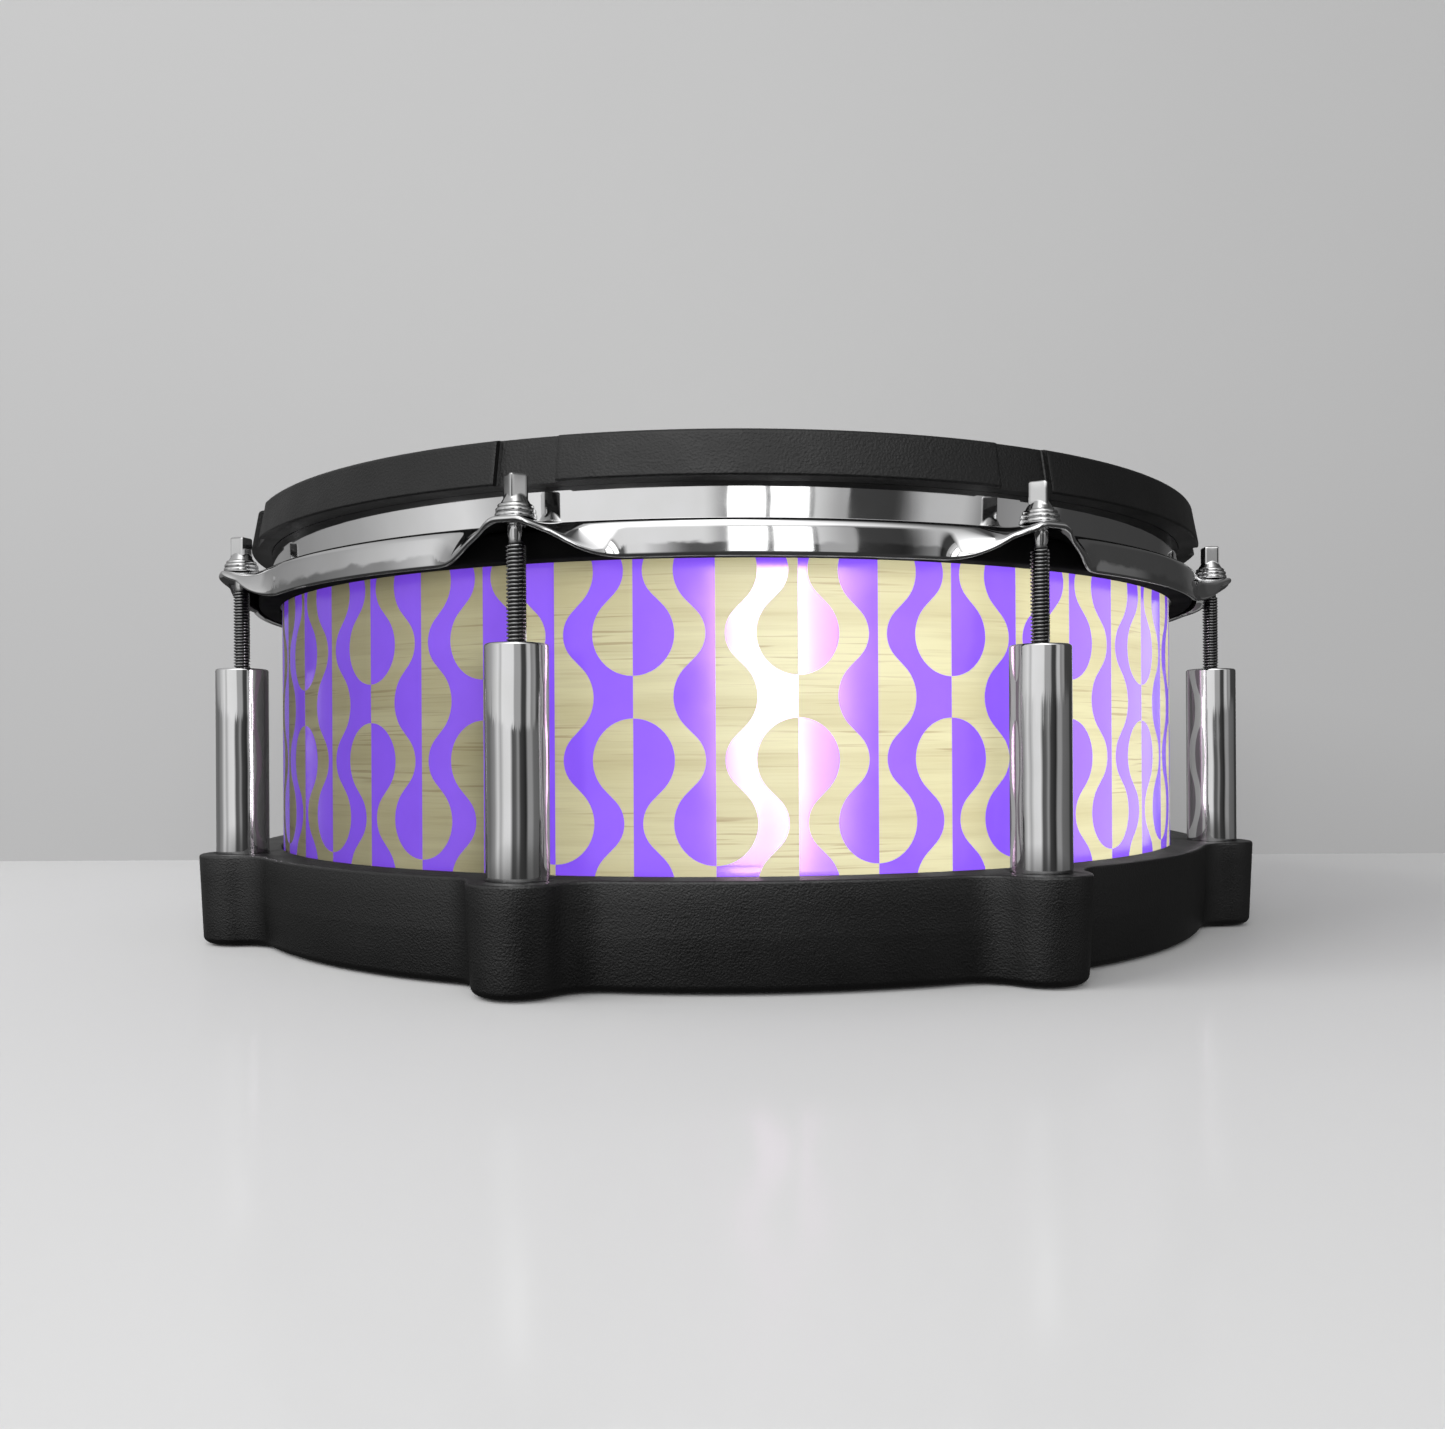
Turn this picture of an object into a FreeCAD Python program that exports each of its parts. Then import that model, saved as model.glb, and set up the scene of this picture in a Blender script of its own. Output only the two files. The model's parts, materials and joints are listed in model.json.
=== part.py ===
import FreeCAD, Part
import math
import os

# Electronic snare drum with a mesh head.  Millimetres, +Z up, origin on the floor under the centre.
# The front of the drum faces -Y.  Lugs are numbered counter-clockwise from the +X side.

# ---- driving dimensions ---------------------------------------------------------------------
LUG_COUNT = 8
FIRST_LUG_DEG = 22.5
LUG_CIRCLE_R = 192.8          # tension rod axes
SHELL_R = 177.8               # outside of the wrap: a 14 inch drum
WRAP_T = 0.5
WRAP_FOOT_Z = 14.0
WRAP_TOP_Z = 130.6
SHELL_WALL = 6.0
SHELL_FOOT_Z = 10.0
SHELL_GAP = 0.4               # between the wrap and the frame's socket
BEARING_Z = 141.5             # top of the bearing edge
BEARING_ROUND = 4.0
MESH_T = 0.6
HEAD_ROLL_R = 4.0             # the head's bend over the bearing edge

FRAME_TOP_Z = 31.5
FRAME_CREASE_Z = 16.0         # below this line the frame's wall leans inwards
FRAME_FOOT_Z = 0.8
FRAME_R = 190.0
FRAME_FOOT_R = 188.7
FRAME_WALL = 3.0
FRAME_FOOT_ROUND = 2.4
FRAME_TOP_BEVEL = 0.8
FRAME_LEDGE_R = 164.0         # inner edge of the ledge that the shell stands on
FRAME_UNDERCUT_R = 178.0      # the ledge is hollow below, from this radius inwards
FRAME_UNDERCUT_Z = 7.0
LOBE_TOP_R = 14.3             # lobe that carries one lug
LOBE_FOOT_R = 12.9
LOBE_BLEND_R = 14.0
SOCKET_DEPTH = 5.0
LUG_SCREW_HOLE_R = 2.7
LUG_SCREW_HEAD_ROOM_R = 5.2
LUG_SCREW_SEAT_Z = 12.8       # underside of the wall that a lug screw's head pulls against

PANEL_SCREW_R = 171.5         # screws that hold the bottom cover
PANEL_BOTTOM_Z = 1.2
PANEL_TOP_Z = 3.7
PANEL_RIB_H = 3.0
PAD_R = 8.0

TUBE_R = 8.76
TUBE_BORE_R = 7.2
TUBE_TOP_Z = 96.2
TUBE_CAP_T = 2.5
TUBE_HOLE_R = 3.4             # the rod passes through the closed top of its lug
LUG_NUT_LENGTH = 14.0
LUG_PLUG_LENGTH = 14.0

SHEET_T = 1.8                 # the hoop's sheet steel
HOOP_IN_R = 179.4
HOOP_STEP_Z = 130.3           # top of the step that presses the head down
HOOP_TOP_Z = 150.0
HOOP_BEAD_R = 183.0
SKIRT_R = 188.5
SKIRT_BOTTOM_Z = 119.4
STEP_BEND_R = 2.6             # outside of the bend from step to skirt
EAR_TIP_R = 200.0
EAR_FLAT = 6.2                # half width of the flat part of an ear
EAR_WAVE = 25.0               # half width where its wave meets the skirt's edge
EAR_PLAN = 21.0               # half width of its plan outline at the skirt
EAR_HOLE_R = 3.0

COVER_BOTTOM_Z = 141.2
COVER_TOP_Z = 154.8
COVER_FOOT_R = 188.4
COVER_SHOULDER_R = 186.4
COVER_IN_R = 175.5
COVER_ROUND = 2.5
COVER_LIP_Z = 145.5
KEY_NOTCH_WIDTH = 19.0        # flat on the cover beside each rod, room for the drum key
KEY_NOTCH_DEPTH = 2.2

COLLAR_R = 178.6              # the head hangs down between shell and hoop
HEAD_HOOP_OUT_R = 186.0
HEAD_HOOP_BOTTOM_Z = 120.3
HEAD_HOOP_TOP_Z = 128.4

WASHER_T = 1.4
LOWER_WASHER_R = 5.85
UPPER_WASHER_R = 5.6
WASHER_HOLE_R = 2.75
ROD_GAP = 0.05
ROD_R = 2.745                 # 12-24 thread
ROD_PITCH = 25.4 / 24
SHANK_R = 2.35
ROD_FLANGE_R = 5.0
ROD_KEY_SIDE = 5.4
ROD_TOP_Z = 142.6
ROD_THREAD_TOP_Z = 123.5
ROD_END_Z = 70.0
NUT_BORE_R = 2.8

JACK_Z = 62.0
JACK_BORE_R = 3.2
JACK_BORE_DEPTH = 32.0
JACK_TIP_Y = 188.0
JACK_PLATE_R = 16.0
JACK_PLATE_Y = 181.9          # its outer face, which the nut sits on
JACK_SCREW_X = 12.0
JACK_BUSH_R = 4.75
JACK_BODY_R = 8.5
JACK_BODY_END_Y = 176.0
JACK_NUT_FLATS = 12.7
JACK_NUT_T = 2.8

BRIDGE_Z = 112.0              # flat bar across the inside of the shell that carries the sensors
BRIDGE_T = 2.5
BRIDGE_HALF = 168.0
BRIDGE_HALF_WIDTH = 16.0
BRIDGE_TAB_H = 20.0
BRIDGE_SCREW_UP = 12.0
BRIDGE_SCREW_Y = 9.0
PLATE_Z = 118.0               # round plate on rubber grommets above the bridge
PLATE_R = 27.0
PLATE_T = 2.0
SENSOR_PAD_T = 3.0
GROMMET_CIRCLE_R = 13.0
GROMMET_ANGLES = (0, 120, 240)

LEAD_R = 1.1                  # thin leads from the two sensors to the jack
HEAD_LEAD = [(0, 27.5, 119), (0, 40, 119), (-8, 52, 108), (-10, 70, 92), (-6, 92, 78), (-4, 112, 68),
             (-5, 130, 62.5), (-5, 147, 62)]
RIM_LEAD = [(58.2, 152.3, 92), (57, 146, 80), (50, 143, 68), (38, 140, 62), (24, 133, 60), (12, 134, 61.5),
            (5, 139, 62), (5, 147, 62)]

FIT = 0.1                     # gap left between parts that are a loose fit


# ---- small helpers --------------------------------------------------------------------------
def vec(x, y, z):
    return FreeCAD.Vector(x, y, z)


def polar(r, degrees, z=0.0):
    a = math.radians(degrees)
    return vec(r * math.cos(a), r * math.sin(a), z)


def lug_angles():
    return [FIRST_LUG_DEG + 360.0 / LUG_COUNT * i for i in range(LUG_COUNT)]


def cylinder(r, z0, z1, at=None, direction=None):
    base = (at or vec(0, 0, 0)) + vec(0, 0, z0)
    return Part.makeCylinder(r, z1 - z0, base, direction or vec(0, 0, 1))


def tube(r_out, r_in, z0, z1, at=None):
    return cylinder(r_out, z0, z1, at).cut(cylinder(r_in, z0 - 1, z1 + 1, at))


def box(x0, x1, y0, y1, z0, z1):
    return Part.makeBox(x1 - x0, y1 - y0, z1 - z0, vec(x0, y0, z0))


def spin(shape, degrees):
    turned = shape.copy()
    turned.rotate(vec(0, 0, 0), vec(0, 0, 1), degrees)
    return turned


def revolve(points):
    """Full turn of a closed outline given as (r, z) pairs; a third pair in an item bends it as an arc."""
    edges = []
    last = points[-1][-2:]
    for item in points:
        start = vec(last[0], 0, last[1])
        end = vec(item[-2], 0, item[-1])
        if len(item) == 4:
            edges.append(Part.Arc(start, vec(item[0], 0, item[1]), end).toShape())
        elif (start - end).Length > 1e-6:
            edges.append(Part.LineSegment(start, end).toShape())
        last = item[-2:]
    face = Part.Face(Part.Wire(edges))
    return face.revolve(vec(0, 0, 0), vec(0, 0, 1), 360)


def corner(cx, cz, r, mid_deg, end_deg):
    """Arc item for revolve(): a round corner about (cx, cz), through mid_deg, ending at end_deg."""
    mid = math.radians(mid_deg)
    end = math.radians(end_deg)
    return (cx + r * math.cos(mid), cz + r * math.sin(mid), cx + r * math.cos(end), cz + r * math.sin(end))


def around(shape, angles):
    """One compound of separate solids: the shape, made at angle 0, turned to each angle."""
    return Part.makeCompound([spin(shape, a) for a in angles])


# ---- base frame -----------------------------------------------------------------------------
def lobed_outline(ring_r, lobe_r, blend_r, z):
    """Circle with a round lobe at every lug, joined by hollow blends."""
    far = ring_r + blend_r
    near = lobe_r + blend_r
    cos_half = (far ** 2 + LUG_CIRCLE_R ** 2 - near ** 2) / (2 * far * LUG_CIRCLE_R)
    half = math.degrees(math.acos(cos_half))
    edges = []
    for a in lug_angles():
        lug = polar(LUG_CIRCLE_R, a, z)
        before = polar(far, a - half, z)
        after = polar(far, a + half, z)
        ring_in = polar(ring_r, a - half, z)
        ring_out = polar(ring_r, a + half, z)
        lobe_in = lug + (before - lug) * (lobe_r / near)
        lobe_out = lug + (after - lug) * (lobe_r / near)
        edges.append(Part.Arc(ring_in, arc_middle(before, ring_in, lobe_in, blend_r), lobe_in))
        edges.append(Part.Arc(lobe_in, lug + polar(lobe_r, a), lobe_out))
        edges.append(Part.Arc(lobe_out, arc_middle(after, lobe_out, ring_out, blend_r), ring_out))
        next_a = a + 360.0 / LUG_COUNT
        next_in = polar(ring_r, next_a - half, z)
        edges.append(Part.Arc(ring_out, polar(ring_r, (a + next_a) / 2, z), next_in))
    return Part.Wire([e.toShape() for e in edges])


def arc_middle(centre, start, end, r):
    toward = (start + end) * 0.5 - centre
    return centre + toward.normalize() * r


def lobed_prism(ring_r, lobe_r, blend_r, z0, z1):
    face = Part.Face(lobed_outline(ring_r, lobe_r, blend_r, z0))
    return face.extrude(vec(0, 0, z1 - z0))


def frame_skin():
    """Outside of the frame: upright above the crease, leaning in below it, with a rounded foot."""
    lean = (FRAME_R - FRAME_FOOT_R) / (FRAME_CREASE_Z - FRAME_FOOT_Z)
    taper = (LOBE_TOP_R - LOBE_FOOT_R) / (FRAME_TOP_Z - FRAME_FOOT_Z)
    sections = []
    foot = FRAME_FOOT_ROUND
    for z, inset in ((FRAME_FOOT_Z, foot), (FRAME_FOOT_Z + 0.3 * foot, 0.29 * foot),
                     (FRAME_FOOT_Z + foot, 0.0), (FRAME_CREASE_Z, 0.0),
                     (FRAME_TOP_Z - FRAME_TOP_BEVEL, 0.0), (FRAME_TOP_Z, FRAME_TOP_BEVEL)):
        ring_r = FRAME_R - lean * max(0.0, FRAME_CREASE_Z - z) - inset
        lobe_r = LOBE_TOP_R - taper * (FRAME_TOP_Z - z) - inset
        sections.append(lobed_outline(ring_r, lobe_r, LOBE_BLEND_R + inset, z))
    return Part.makeLoft(sections, True, True)


def frame_pocket():
    """Hollow underside between the outer wall and the shell's socket."""
    outer = lobed_prism(FRAME_FOOT_R - FRAME_WALL, LOBE_FOOT_R - FRAME_WALL, LOBE_BLEND_R + FRAME_WALL + 0.8,
                        FRAME_FOOT_Z - 1, FRAME_TOP_Z - FRAME_WALL)
    return outer.cut(cylinder(SHELL_R + SHELL_GAP + FRAME_WALL, FRAME_FOOT_Z - 2, FRAME_TOP_Z))


def lug_seat():
    """Boss inside a lobe, at angle 0, that the lug tube stands in."""
    return cylinder(TUBE_R + 2.4, FRAME_FOOT_Z + 8, FRAME_TOP_Z - 1, vec(LUG_CIRCLE_R, 0, 0))


def lug_socket_cut():
    axis = vec(LUG_CIRCLE_R, 0, 0)
    socket = cylinder(TUBE_R + FIT, FRAME_TOP_Z - SOCKET_DEPTH, FRAME_TOP_Z + 1, axis)
    hole = cylinder(LUG_SCREW_HOLE_R, 0, FRAME_TOP_Z, axis)
    head_room = cylinder(LUG_SCREW_HEAD_ROOM_R, 0, LUG_SCREW_SEAT_Z, axis)
    return socket.fuse([hole, head_room])


def base_frame():
    rib = box(SHELL_R + 2, FRAME_FOOT_R - 2, -1.25, 1.25, FRAME_FOOT_Z + 4, FRAME_TOP_Z - 1)
    rib_angles = [a + d for a in lug_angles() for d in (12.0, 22.5, 33.0)]
    shape = frame_skin().cut(frame_pocket())
    seats = around(lug_seat(), lug_angles()).common(lobed_prism(
        FRAME_FOOT_R - 1, LOBE_FOOT_R - 1, LOBE_BLEND_R, FRAME_FOOT_Z, FRAME_TOP_Z - 1))
    shape = shape.fuse(seats.Solids + around(rib, rib_angles).Solids)
    shape = shape.cut(cylinder(SHELL_R + SHELL_GAP, SHELL_FOOT_Z, FRAME_TOP_Z + 1))
    shape = shape.cut(cylinder(FRAME_LEDGE_R, -1, SHELL_FOOT_Z + 1))
    undercut = tube(FRAME_UNDERCUT_R, FRAME_LEDGE_R - 14, -1, FRAME_UNDERCUT_Z)
    shape = shape.cut(undercut.cut(around(screw_boss(), panel_screw_angles())))
    for a in lug_angles():
        shape = shape.cut(spin(lug_socket_cut(), a))
    pilot = cylinder(1.5, 0, 9.0, vec(PANEL_SCREW_R, 0, 0))
    for a in panel_screw_angles():
        shape = shape.cut(spin(pilot, a))
    return shape.cut(lobed_prism(FRAME_FOOT_R - FRAME_WALL, LOBE_FOOT_R - FRAME_WALL,
                                 LOBE_BLEND_R + FRAME_WALL, FRAME_FOOT_Z - 1, PANEL_TOP_Z))


# ---- underside ------------------------------------------------------------------------------
def panel_screw_angles():
    return [a + 180.0 / LUG_COUNT for a in lug_angles()]


def screw_boss():
    return cylinder(5.0, -2, 8.0, vec(PANEL_SCREW_R, 0, 0))


def bottom_cover():
    gap = FRAME_WALL + 0.2
    plate = lobed_prism(FRAME_FOOT_R - gap, LOBE_FOOT_R - gap, LOBE_BLEND_R + gap,
                        PANEL_BOTTOM_Z, PANEL_TOP_Z)
    rings = [tube(r + 1.5, r - 1.5, PANEL_TOP_Z, PANEL_TOP_Z + PANEL_RIB_H) for r in (60.0, 110.0)]
    spoke = box(18.5, 160.0, -1.25, 1.25, PANEL_TOP_Z, PANEL_TOP_Z + PANEL_RIB_H - 0.5)
    hub = tube(20.0, 17.0, PANEL_TOP_Z, PANEL_TOP_Z + PANEL_RIB_H)
    plate = plate.fuse(rings + [hub] + around(spoke, panel_screw_angles()).Solids)
    hole = cylinder(1.9, 0, 10, vec(PANEL_SCREW_R, 0, 0))
    sink = cylinder(3.6, 0, PANEL_BOTTOM_Z + 1.2, vec(PANEL_SCREW_R, 0, 0))
    return plate.cut(around(hole.fuse(sink), panel_screw_angles()))


def cover_screws():
    axis = vec(PANEL_SCREW_R, 0, 0)
    head = cylinder(3.4, PANEL_BOTTOM_Z - 0.1, PANEL_BOTTOM_Z + 1.1, axis)
    shaft = cylinder(1.45, PANEL_BOTTOM_Z + 1.0, 8.8, axis)
    slot = box(PANEL_SCREW_R - 2.2, PANEL_SCREW_R + 2.2, -0.4, 0.4, 0, PANEL_BOTTOM_Z + 0.4)
    cross = box(PANEL_SCREW_R - 0.4, PANEL_SCREW_R + 0.4, -2.2, 2.2, 0, PANEL_BOTTOM_Z + 0.4)
    return around(head.fuse(shaft).cut(slot).cut(cross), panel_screw_angles())


def foot_pads():
    pad = cylinder(PAD_R, 0, PANEL_BOTTOM_Z, vec(LUG_CIRCLE_R - 1.5, 0, 0))
    return around(pad, lug_angles())


# ---- lugs -----------------------------------------------------------------------------------
def lug_tube():
    axis = vec(LUG_CIRCLE_R, 0, 0)
    foot = FRAME_TOP_Z - SOCKET_DEPTH
    outside = cylinder(TUBE_R, foot, TUBE_TOP_Z, axis)
    rim = [e for e in outside.Edges if abs(e.CenterOfMass.z - TUBE_TOP_Z) < 1e-6]
    outside = outside.makeFillet(0.7, rim)
    bore = cylinder(TUBE_BORE_R, foot - 1, TUBE_TOP_Z - TUBE_CAP_T, axis)
    return outside.cut(bore).cut(cylinder(TUBE_HOLE_R, 0, TUBE_TOP_Z + 1, axis))


def lug_nuts():
    axis = vec(LUG_CIRCLE_R, 0, 0)
    top = TUBE_TOP_Z - TUBE_CAP_T
    low = top - LUG_NUT_LENGTH
    body = tube(TUBE_BORE_R - FIT, NUT_BORE_R, low, top, axis)
    for y in (5.4, -10.0):
        body = body.cut(box(LUG_CIRCLE_R - 10, LUG_CIRCLE_R + 10, y, y + 4.6, low - 0.5, top - 2.0))
    return around(body, lug_angles())


def lug_plugs():
    axis = vec(LUG_CIRCLE_R, 0, 0)
    foot = FRAME_TOP_Z - SOCKET_DEPTH
    return around(tube(TUBE_BORE_R - 0.05, 2.45, foot, foot + LUG_PLUG_LENGTH, axis), lug_angles())


def lug_screws():
    axis = vec(LUG_CIRCLE_R, 0, 0)
    seat = LUG_SCREW_SEAT_Z
    head = cylinder(4.6, seat - 4.0, seat, axis)
    hexagon = Part.Face(Part.makePolygon(
        [axis + polar(2.3, 60 * i, seat - 4.5) for i in range(7)]))
    head = head.cut(hexagon.extrude(vec(0, 0, 2.8)))
    shaft = cylinder(2.4, seat - 0.5, FRAME_TOP_Z - SOCKET_DEPTH + 10, axis)
    return around(head.fuse(shaft), lug_angles())


# ---- tension rods and washers ---------------------------------------------------------------
def tension_rod():
    axis = vec(LUG_CIRCLE_R, 0, 0)
    seat = HOOP_STEP_Z + 2 * WASHER_T + ROD_GAP
    half = ROD_KEY_SIDE / 2
    flange = cylinder(ROD_FLANGE_R, seat, seat + 1.2, axis)
    collar = Part.makeCone(4.6, half, 2.4, axis + vec(0, 0, seat + 1.2))
    key = box(LUG_CIRCLE_R - half, LUG_CIRCLE_R + half, -half, half, seat + 1.0, ROD_TOP_Z)
    key = key.makeChamfer(0.5, [e for e in key.Edges if e.CenterOfMass.z > ROD_TOP_Z - 1e-6])
    shank = cylinder(SHANK_R, ROD_THREAD_TOP_Z - 1, seat + 0.5, axis)
    thread = cylinder(ROD_R, ROD_END_Z, ROD_THREAD_TOP_Z, axis)
    ends = [e for e in thread.Edges if len(e.Vertexes) == 1]
    thread = thread.makeChamfer(0.4, ends)
    return flange.fuse([collar, key, shank, thread])


def washers(r, level):
    low = HOOP_STEP_Z + level * WASHER_T
    ring = tube(r, WASHER_HOLE_R, low, low + WASHER_T, vec(LUG_CIRCLE_R, 0, 0))
    rims = [e for e in ring.Edges if abs(e.BoundBox.XLength - 2 * r) < 1e-3]
    return around(ring.makeFillet(0.4, rims), lug_angles())


# ---- hoop -----------------------------------------------------------------------------------
def s_curve(y0, h0, y1, h1, thickness=0.0):
    """Two equal arcs, level at both ends, from (y0, h0) down to (y1, h1), raised by a thickness."""
    half_y = (y1 - y0) / 2
    half_h = (h0 - h1) / 2
    r = (half_y ** 2 + half_h ** 2) / (2 * half_h)
    lean = math.asin(half_y / r)

    def high(angle):
        return (y0 + (r + thickness) * math.sin(angle), h0 - r + (r + thickness) * math.cos(angle))

    def low(angle):
        return (y1 - (r - thickness) * math.sin(angle), h1 + r - (r - thickness) * math.cos(angle))

    return [high(0), high(lean / 2), high(lean), low(lean / 2), low(0)]


def wave_edges(points, place):
    """The five points of an s_curve as two arcs, and the same mirrored in y, as a list of edges."""
    right = [place(y, h) for y, h in points]
    left = [place(-y, h) for y, h in points]
    edges = []
    for side in (right, left):
        edges.append(Part.Arc(side[0], side[1], side[2]).toShape())
        edges.append(Part.Arc(side[2], side[3], side[4]).toShape())
    return edges, right, left


def line(a, b):
    return Part.LineSegment(a, b).toShape()


def face_from(edges):
    return Part.Face(Part.Wire(Part.__sortEdges__(edges)))


def arch_opening():
    """What is missing from the skirt under an ear at angle 0."""
    def place(y, z):
        return vec(HOOP_IN_R + 4, y, z)

    curve = s_curve(EAR_FLAT, HOOP_STEP_Z - SHEET_T, EAR_WAVE, SKIRT_BOTTOM_Z)
    edges, right, left = wave_edges(curve, place)
    low = SKIRT_BOTTOM_Z - 2
    corners = [place(EAR_WAVE, low), place(-EAR_WAVE, low)]
    edges += [line(left[0], right[0]), line(right[4], corners[0]), line(corners[0], corners[1]),
              line(corners[1], left[4])]
    return face_from(edges).extrude(vec(EAR_TIP_R - HOOP_IN_R, 0, 0))


def ear_band():
    """Sheet that follows the arch and stands out to the ear's tip, at angle 0."""
    inner_x = 185.2

    def place(y, z):
        return vec(inner_x, y, z)

    def plan(y, x):
        return vec(x, y, SKIRT_BOTTOM_Z - 5)

    under = s_curve(EAR_FLAT, HOOP_STEP_Z - SHEET_T, EAR_WAVE, SKIRT_BOTTOM_Z)
    over = s_curve(EAR_FLAT, HOOP_STEP_Z - SHEET_T, EAR_WAVE, SKIRT_BOTTOM_Z, SHEET_T)
    low_edges, low_right, low_left = wave_edges(under, place)
    top_edges, top_right, top_left = wave_edges(over, place)
    edges = low_edges + top_edges + [line(low_left[0], low_right[0]), line(top_left[0], top_right[0]),
                                     line(low_right[4], top_right[4]), line(low_left[4], top_left[4])]
    band = face_from(edges).extrude(vec(EAR_TIP_R - inner_x + 2, 0, 0))
    root_x = math.sqrt(SKIRT_R ** 2 - EAR_PLAN ** 2) - 0.3
    outline, right, left = wave_edges(s_curve(EAR_FLAT - 1.2, EAR_TIP_R, EAR_PLAN, root_x), plan)
    back = [plan(EAR_PLAN, root_x - 3), plan(-EAR_PLAN, root_x - 3)]
    outline += [line(left[0], right[0]), line(right[4], back[0])]
    outline += [line(back[0], back[1]), line(back[1], left[4])]
    band = band.common(face_from(outline).extrude(vec(0, 0, 20)))
    return band.cut(cylinder(SKIRT_R - SHEET_T, SKIRT_BOTTOM_Z - 5, HOOP_STEP_Z + 5))


def hoop():
    inner = HOOP_IN_R
    outer = HOOP_IN_R + SHEET_T
    under = HOOP_STEP_Z - SHEET_T
    bend_r = SKIRT_R - STEP_BEND_R
    bend_z = HOOP_STEP_Z - STEP_BEND_R
    inside_bend = STEP_BEND_R - SHEET_T
    ring = revolve([
        (inner, under), (inner, HOOP_TOP_Z), (HOOP_BEAD_R, HOOP_TOP_Z), (HOOP_BEAD_R, HOOP_TOP_Z - 2.0),
        (outer, HOOP_TOP_Z - 2.6), (outer, HOOP_STEP_Z), (bend_r, HOOP_STEP_Z),
        corner(bend_r, bend_z, STEP_BEND_R, 45, 0), (SKIRT_R, SKIRT_BOTTOM_Z),
        (SKIRT_R - SHEET_T, SKIRT_BOTTOM_Z), (SKIRT_R - SHEET_T, bend_z),
        corner(bend_r, bend_z, inside_bend, 45, 90),
    ])
    hole = cylinder(EAR_HOLE_R, HOOP_STEP_Z - 8, HOOP_STEP_Z + 4, vec(LUG_CIRCLE_R, 0, 0))
    ring = ring.cut([spin(arch_opening(), a) for a in lug_angles()])
    ring = ring.fuse([spin(ear_band(), a) for a in lug_angles()])
    return ring.cut([spin(hole, a) for a in lug_angles()])


def hoop_cover():
    shoulder_z = COVER_TOP_Z - COVER_ROUND
    outer = COVER_SHOULDER_R - COVER_ROUND
    inner = COVER_IN_R + COVER_ROUND
    gap = 0.15
    wall_out = HOOP_IN_R + SHEET_T + gap
    profile = [
        (wall_out, COVER_BOTTOM_Z), (COVER_FOOT_R - 0.6, COVER_BOTTOM_Z), (COVER_FOOT_R, COVER_BOTTOM_Z + 0.6),
        (COVER_SHOULDER_R, shoulder_z), corner(outer, shoulder_z, COVER_ROUND, 45, 90),
        (inner, COVER_TOP_Z), corner(inner, shoulder_z, COVER_ROUND, 135, 180),
        (COVER_IN_R, COVER_LIP_Z + 0.5), (COVER_IN_R + 0.5, COVER_LIP_Z), (HOOP_IN_R - gap, COVER_LIP_Z),
        (HOOP_IN_R - gap, HOOP_TOP_Z + gap), (HOOP_BEAD_R + gap, HOOP_TOP_Z + gap),
        (HOOP_BEAD_R + gap, HOOP_TOP_Z - 2.0 - gap), (wall_out, HOOP_TOP_Z - 2.6 - gap),
    ]
    return revolve(profile).cut(around(key_notch(), lug_angles()))


def key_notch():
    """Shallow recess beside a rod, as deep at the top of the cover as at its foot, at angle 0."""
    low = COVER_BOTTOM_Z - 1
    high = COVER_TOP_Z + 1
    lean = (COVER_FOOT_R - COVER_SHOULDER_R) / (COVER_TOP_Z - COVER_ROUND - COVER_BOTTOM_Z)
    foot_r = COVER_FOOT_R - KEY_NOTCH_DEPTH + lean
    top_r = foot_r - lean * (high - low)
    block = box(top_r - 5, COVER_FOOT_R + 6, -KEY_NOTCH_WIDTH / 2, KEY_NOTCH_WIDTH / 2, low, high)
    return block.cut(Part.makeCone(foot_r, top_r, high - low, vec(0, 0, low)))


# ---- drumhead and shell ---------------------------------------------------------------------
def head_hoop():
    ring = tube(HEAD_HOOP_OUT_R, COLLAR_R, HEAD_HOOP_BOTTOM_Z, HEAD_HOOP_TOP_Z)
    outside = [e for e in ring.Edges if abs(e.BoundBox.XLength - 2 * HEAD_HOOP_OUT_R) < 1e-3]
    return ring.makeFillet(0.8, outside)


def mesh_head():
    """Flat mesh that rolls over the bearing edge and hangs down to its own hoop."""
    crown = COLLAR_R - MESH_T - HEAD_ROLL_R
    centre_z = BEARING_Z - HEAD_ROLL_R
    foot = HEAD_HOOP_BOTTOM_Z + 1.5
    return revolve([
        (0, BEARING_Z), (crown, BEARING_Z), corner(crown, centre_z, HEAD_ROLL_R, 45, 0),
        (COLLAR_R - MESH_T, foot), (COLLAR_R, foot), (COLLAR_R, centre_z),
        corner(crown, centre_z, HEAD_ROLL_R + MESH_T, 45, 90), (0, BEARING_Z + MESH_T),
    ])


def jack_hole(r):
    return Part.makeCylinder(r, 40, vec(0, 155, JACK_Z), vec(0, 1, 0))


def shell():
    """Wood shell: the bearing edge is rounded outside, with a 45 degree bevel inside."""
    r_out = SHELL_R - WRAP_T
    r_in = r_out - SHELL_WALL
    crown = r_out - BEARING_ROUND
    ring = revolve([
        (r_in, SHELL_FOOT_Z), (r_out - 0.6, SHELL_FOOT_Z), (r_out, SHELL_FOOT_Z + 0.6),
        (r_out, BEARING_Z - BEARING_ROUND), corner(crown, BEARING_Z - BEARING_ROUND, BEARING_ROUND, 45, 90),
        (crown - 0.4, BEARING_Z), (r_in, BEARING_Z - (crown - 0.4 - r_in)),
    ])
    pilots = [spin(bridge_cylinder(1.6, y, 4.0, 10.0), turn) for turn, y in bridge_screw_ends()]
    return ring.cut([jack_hole(9.0)] + pilots)


def printed_wrap():
    sheet = tube(SHELL_R, SHELL_R - WRAP_T, WRAP_FOOT_Z, WRAP_TOP_Z)
    return sheet.cut(jack_hole(9.0))


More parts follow.
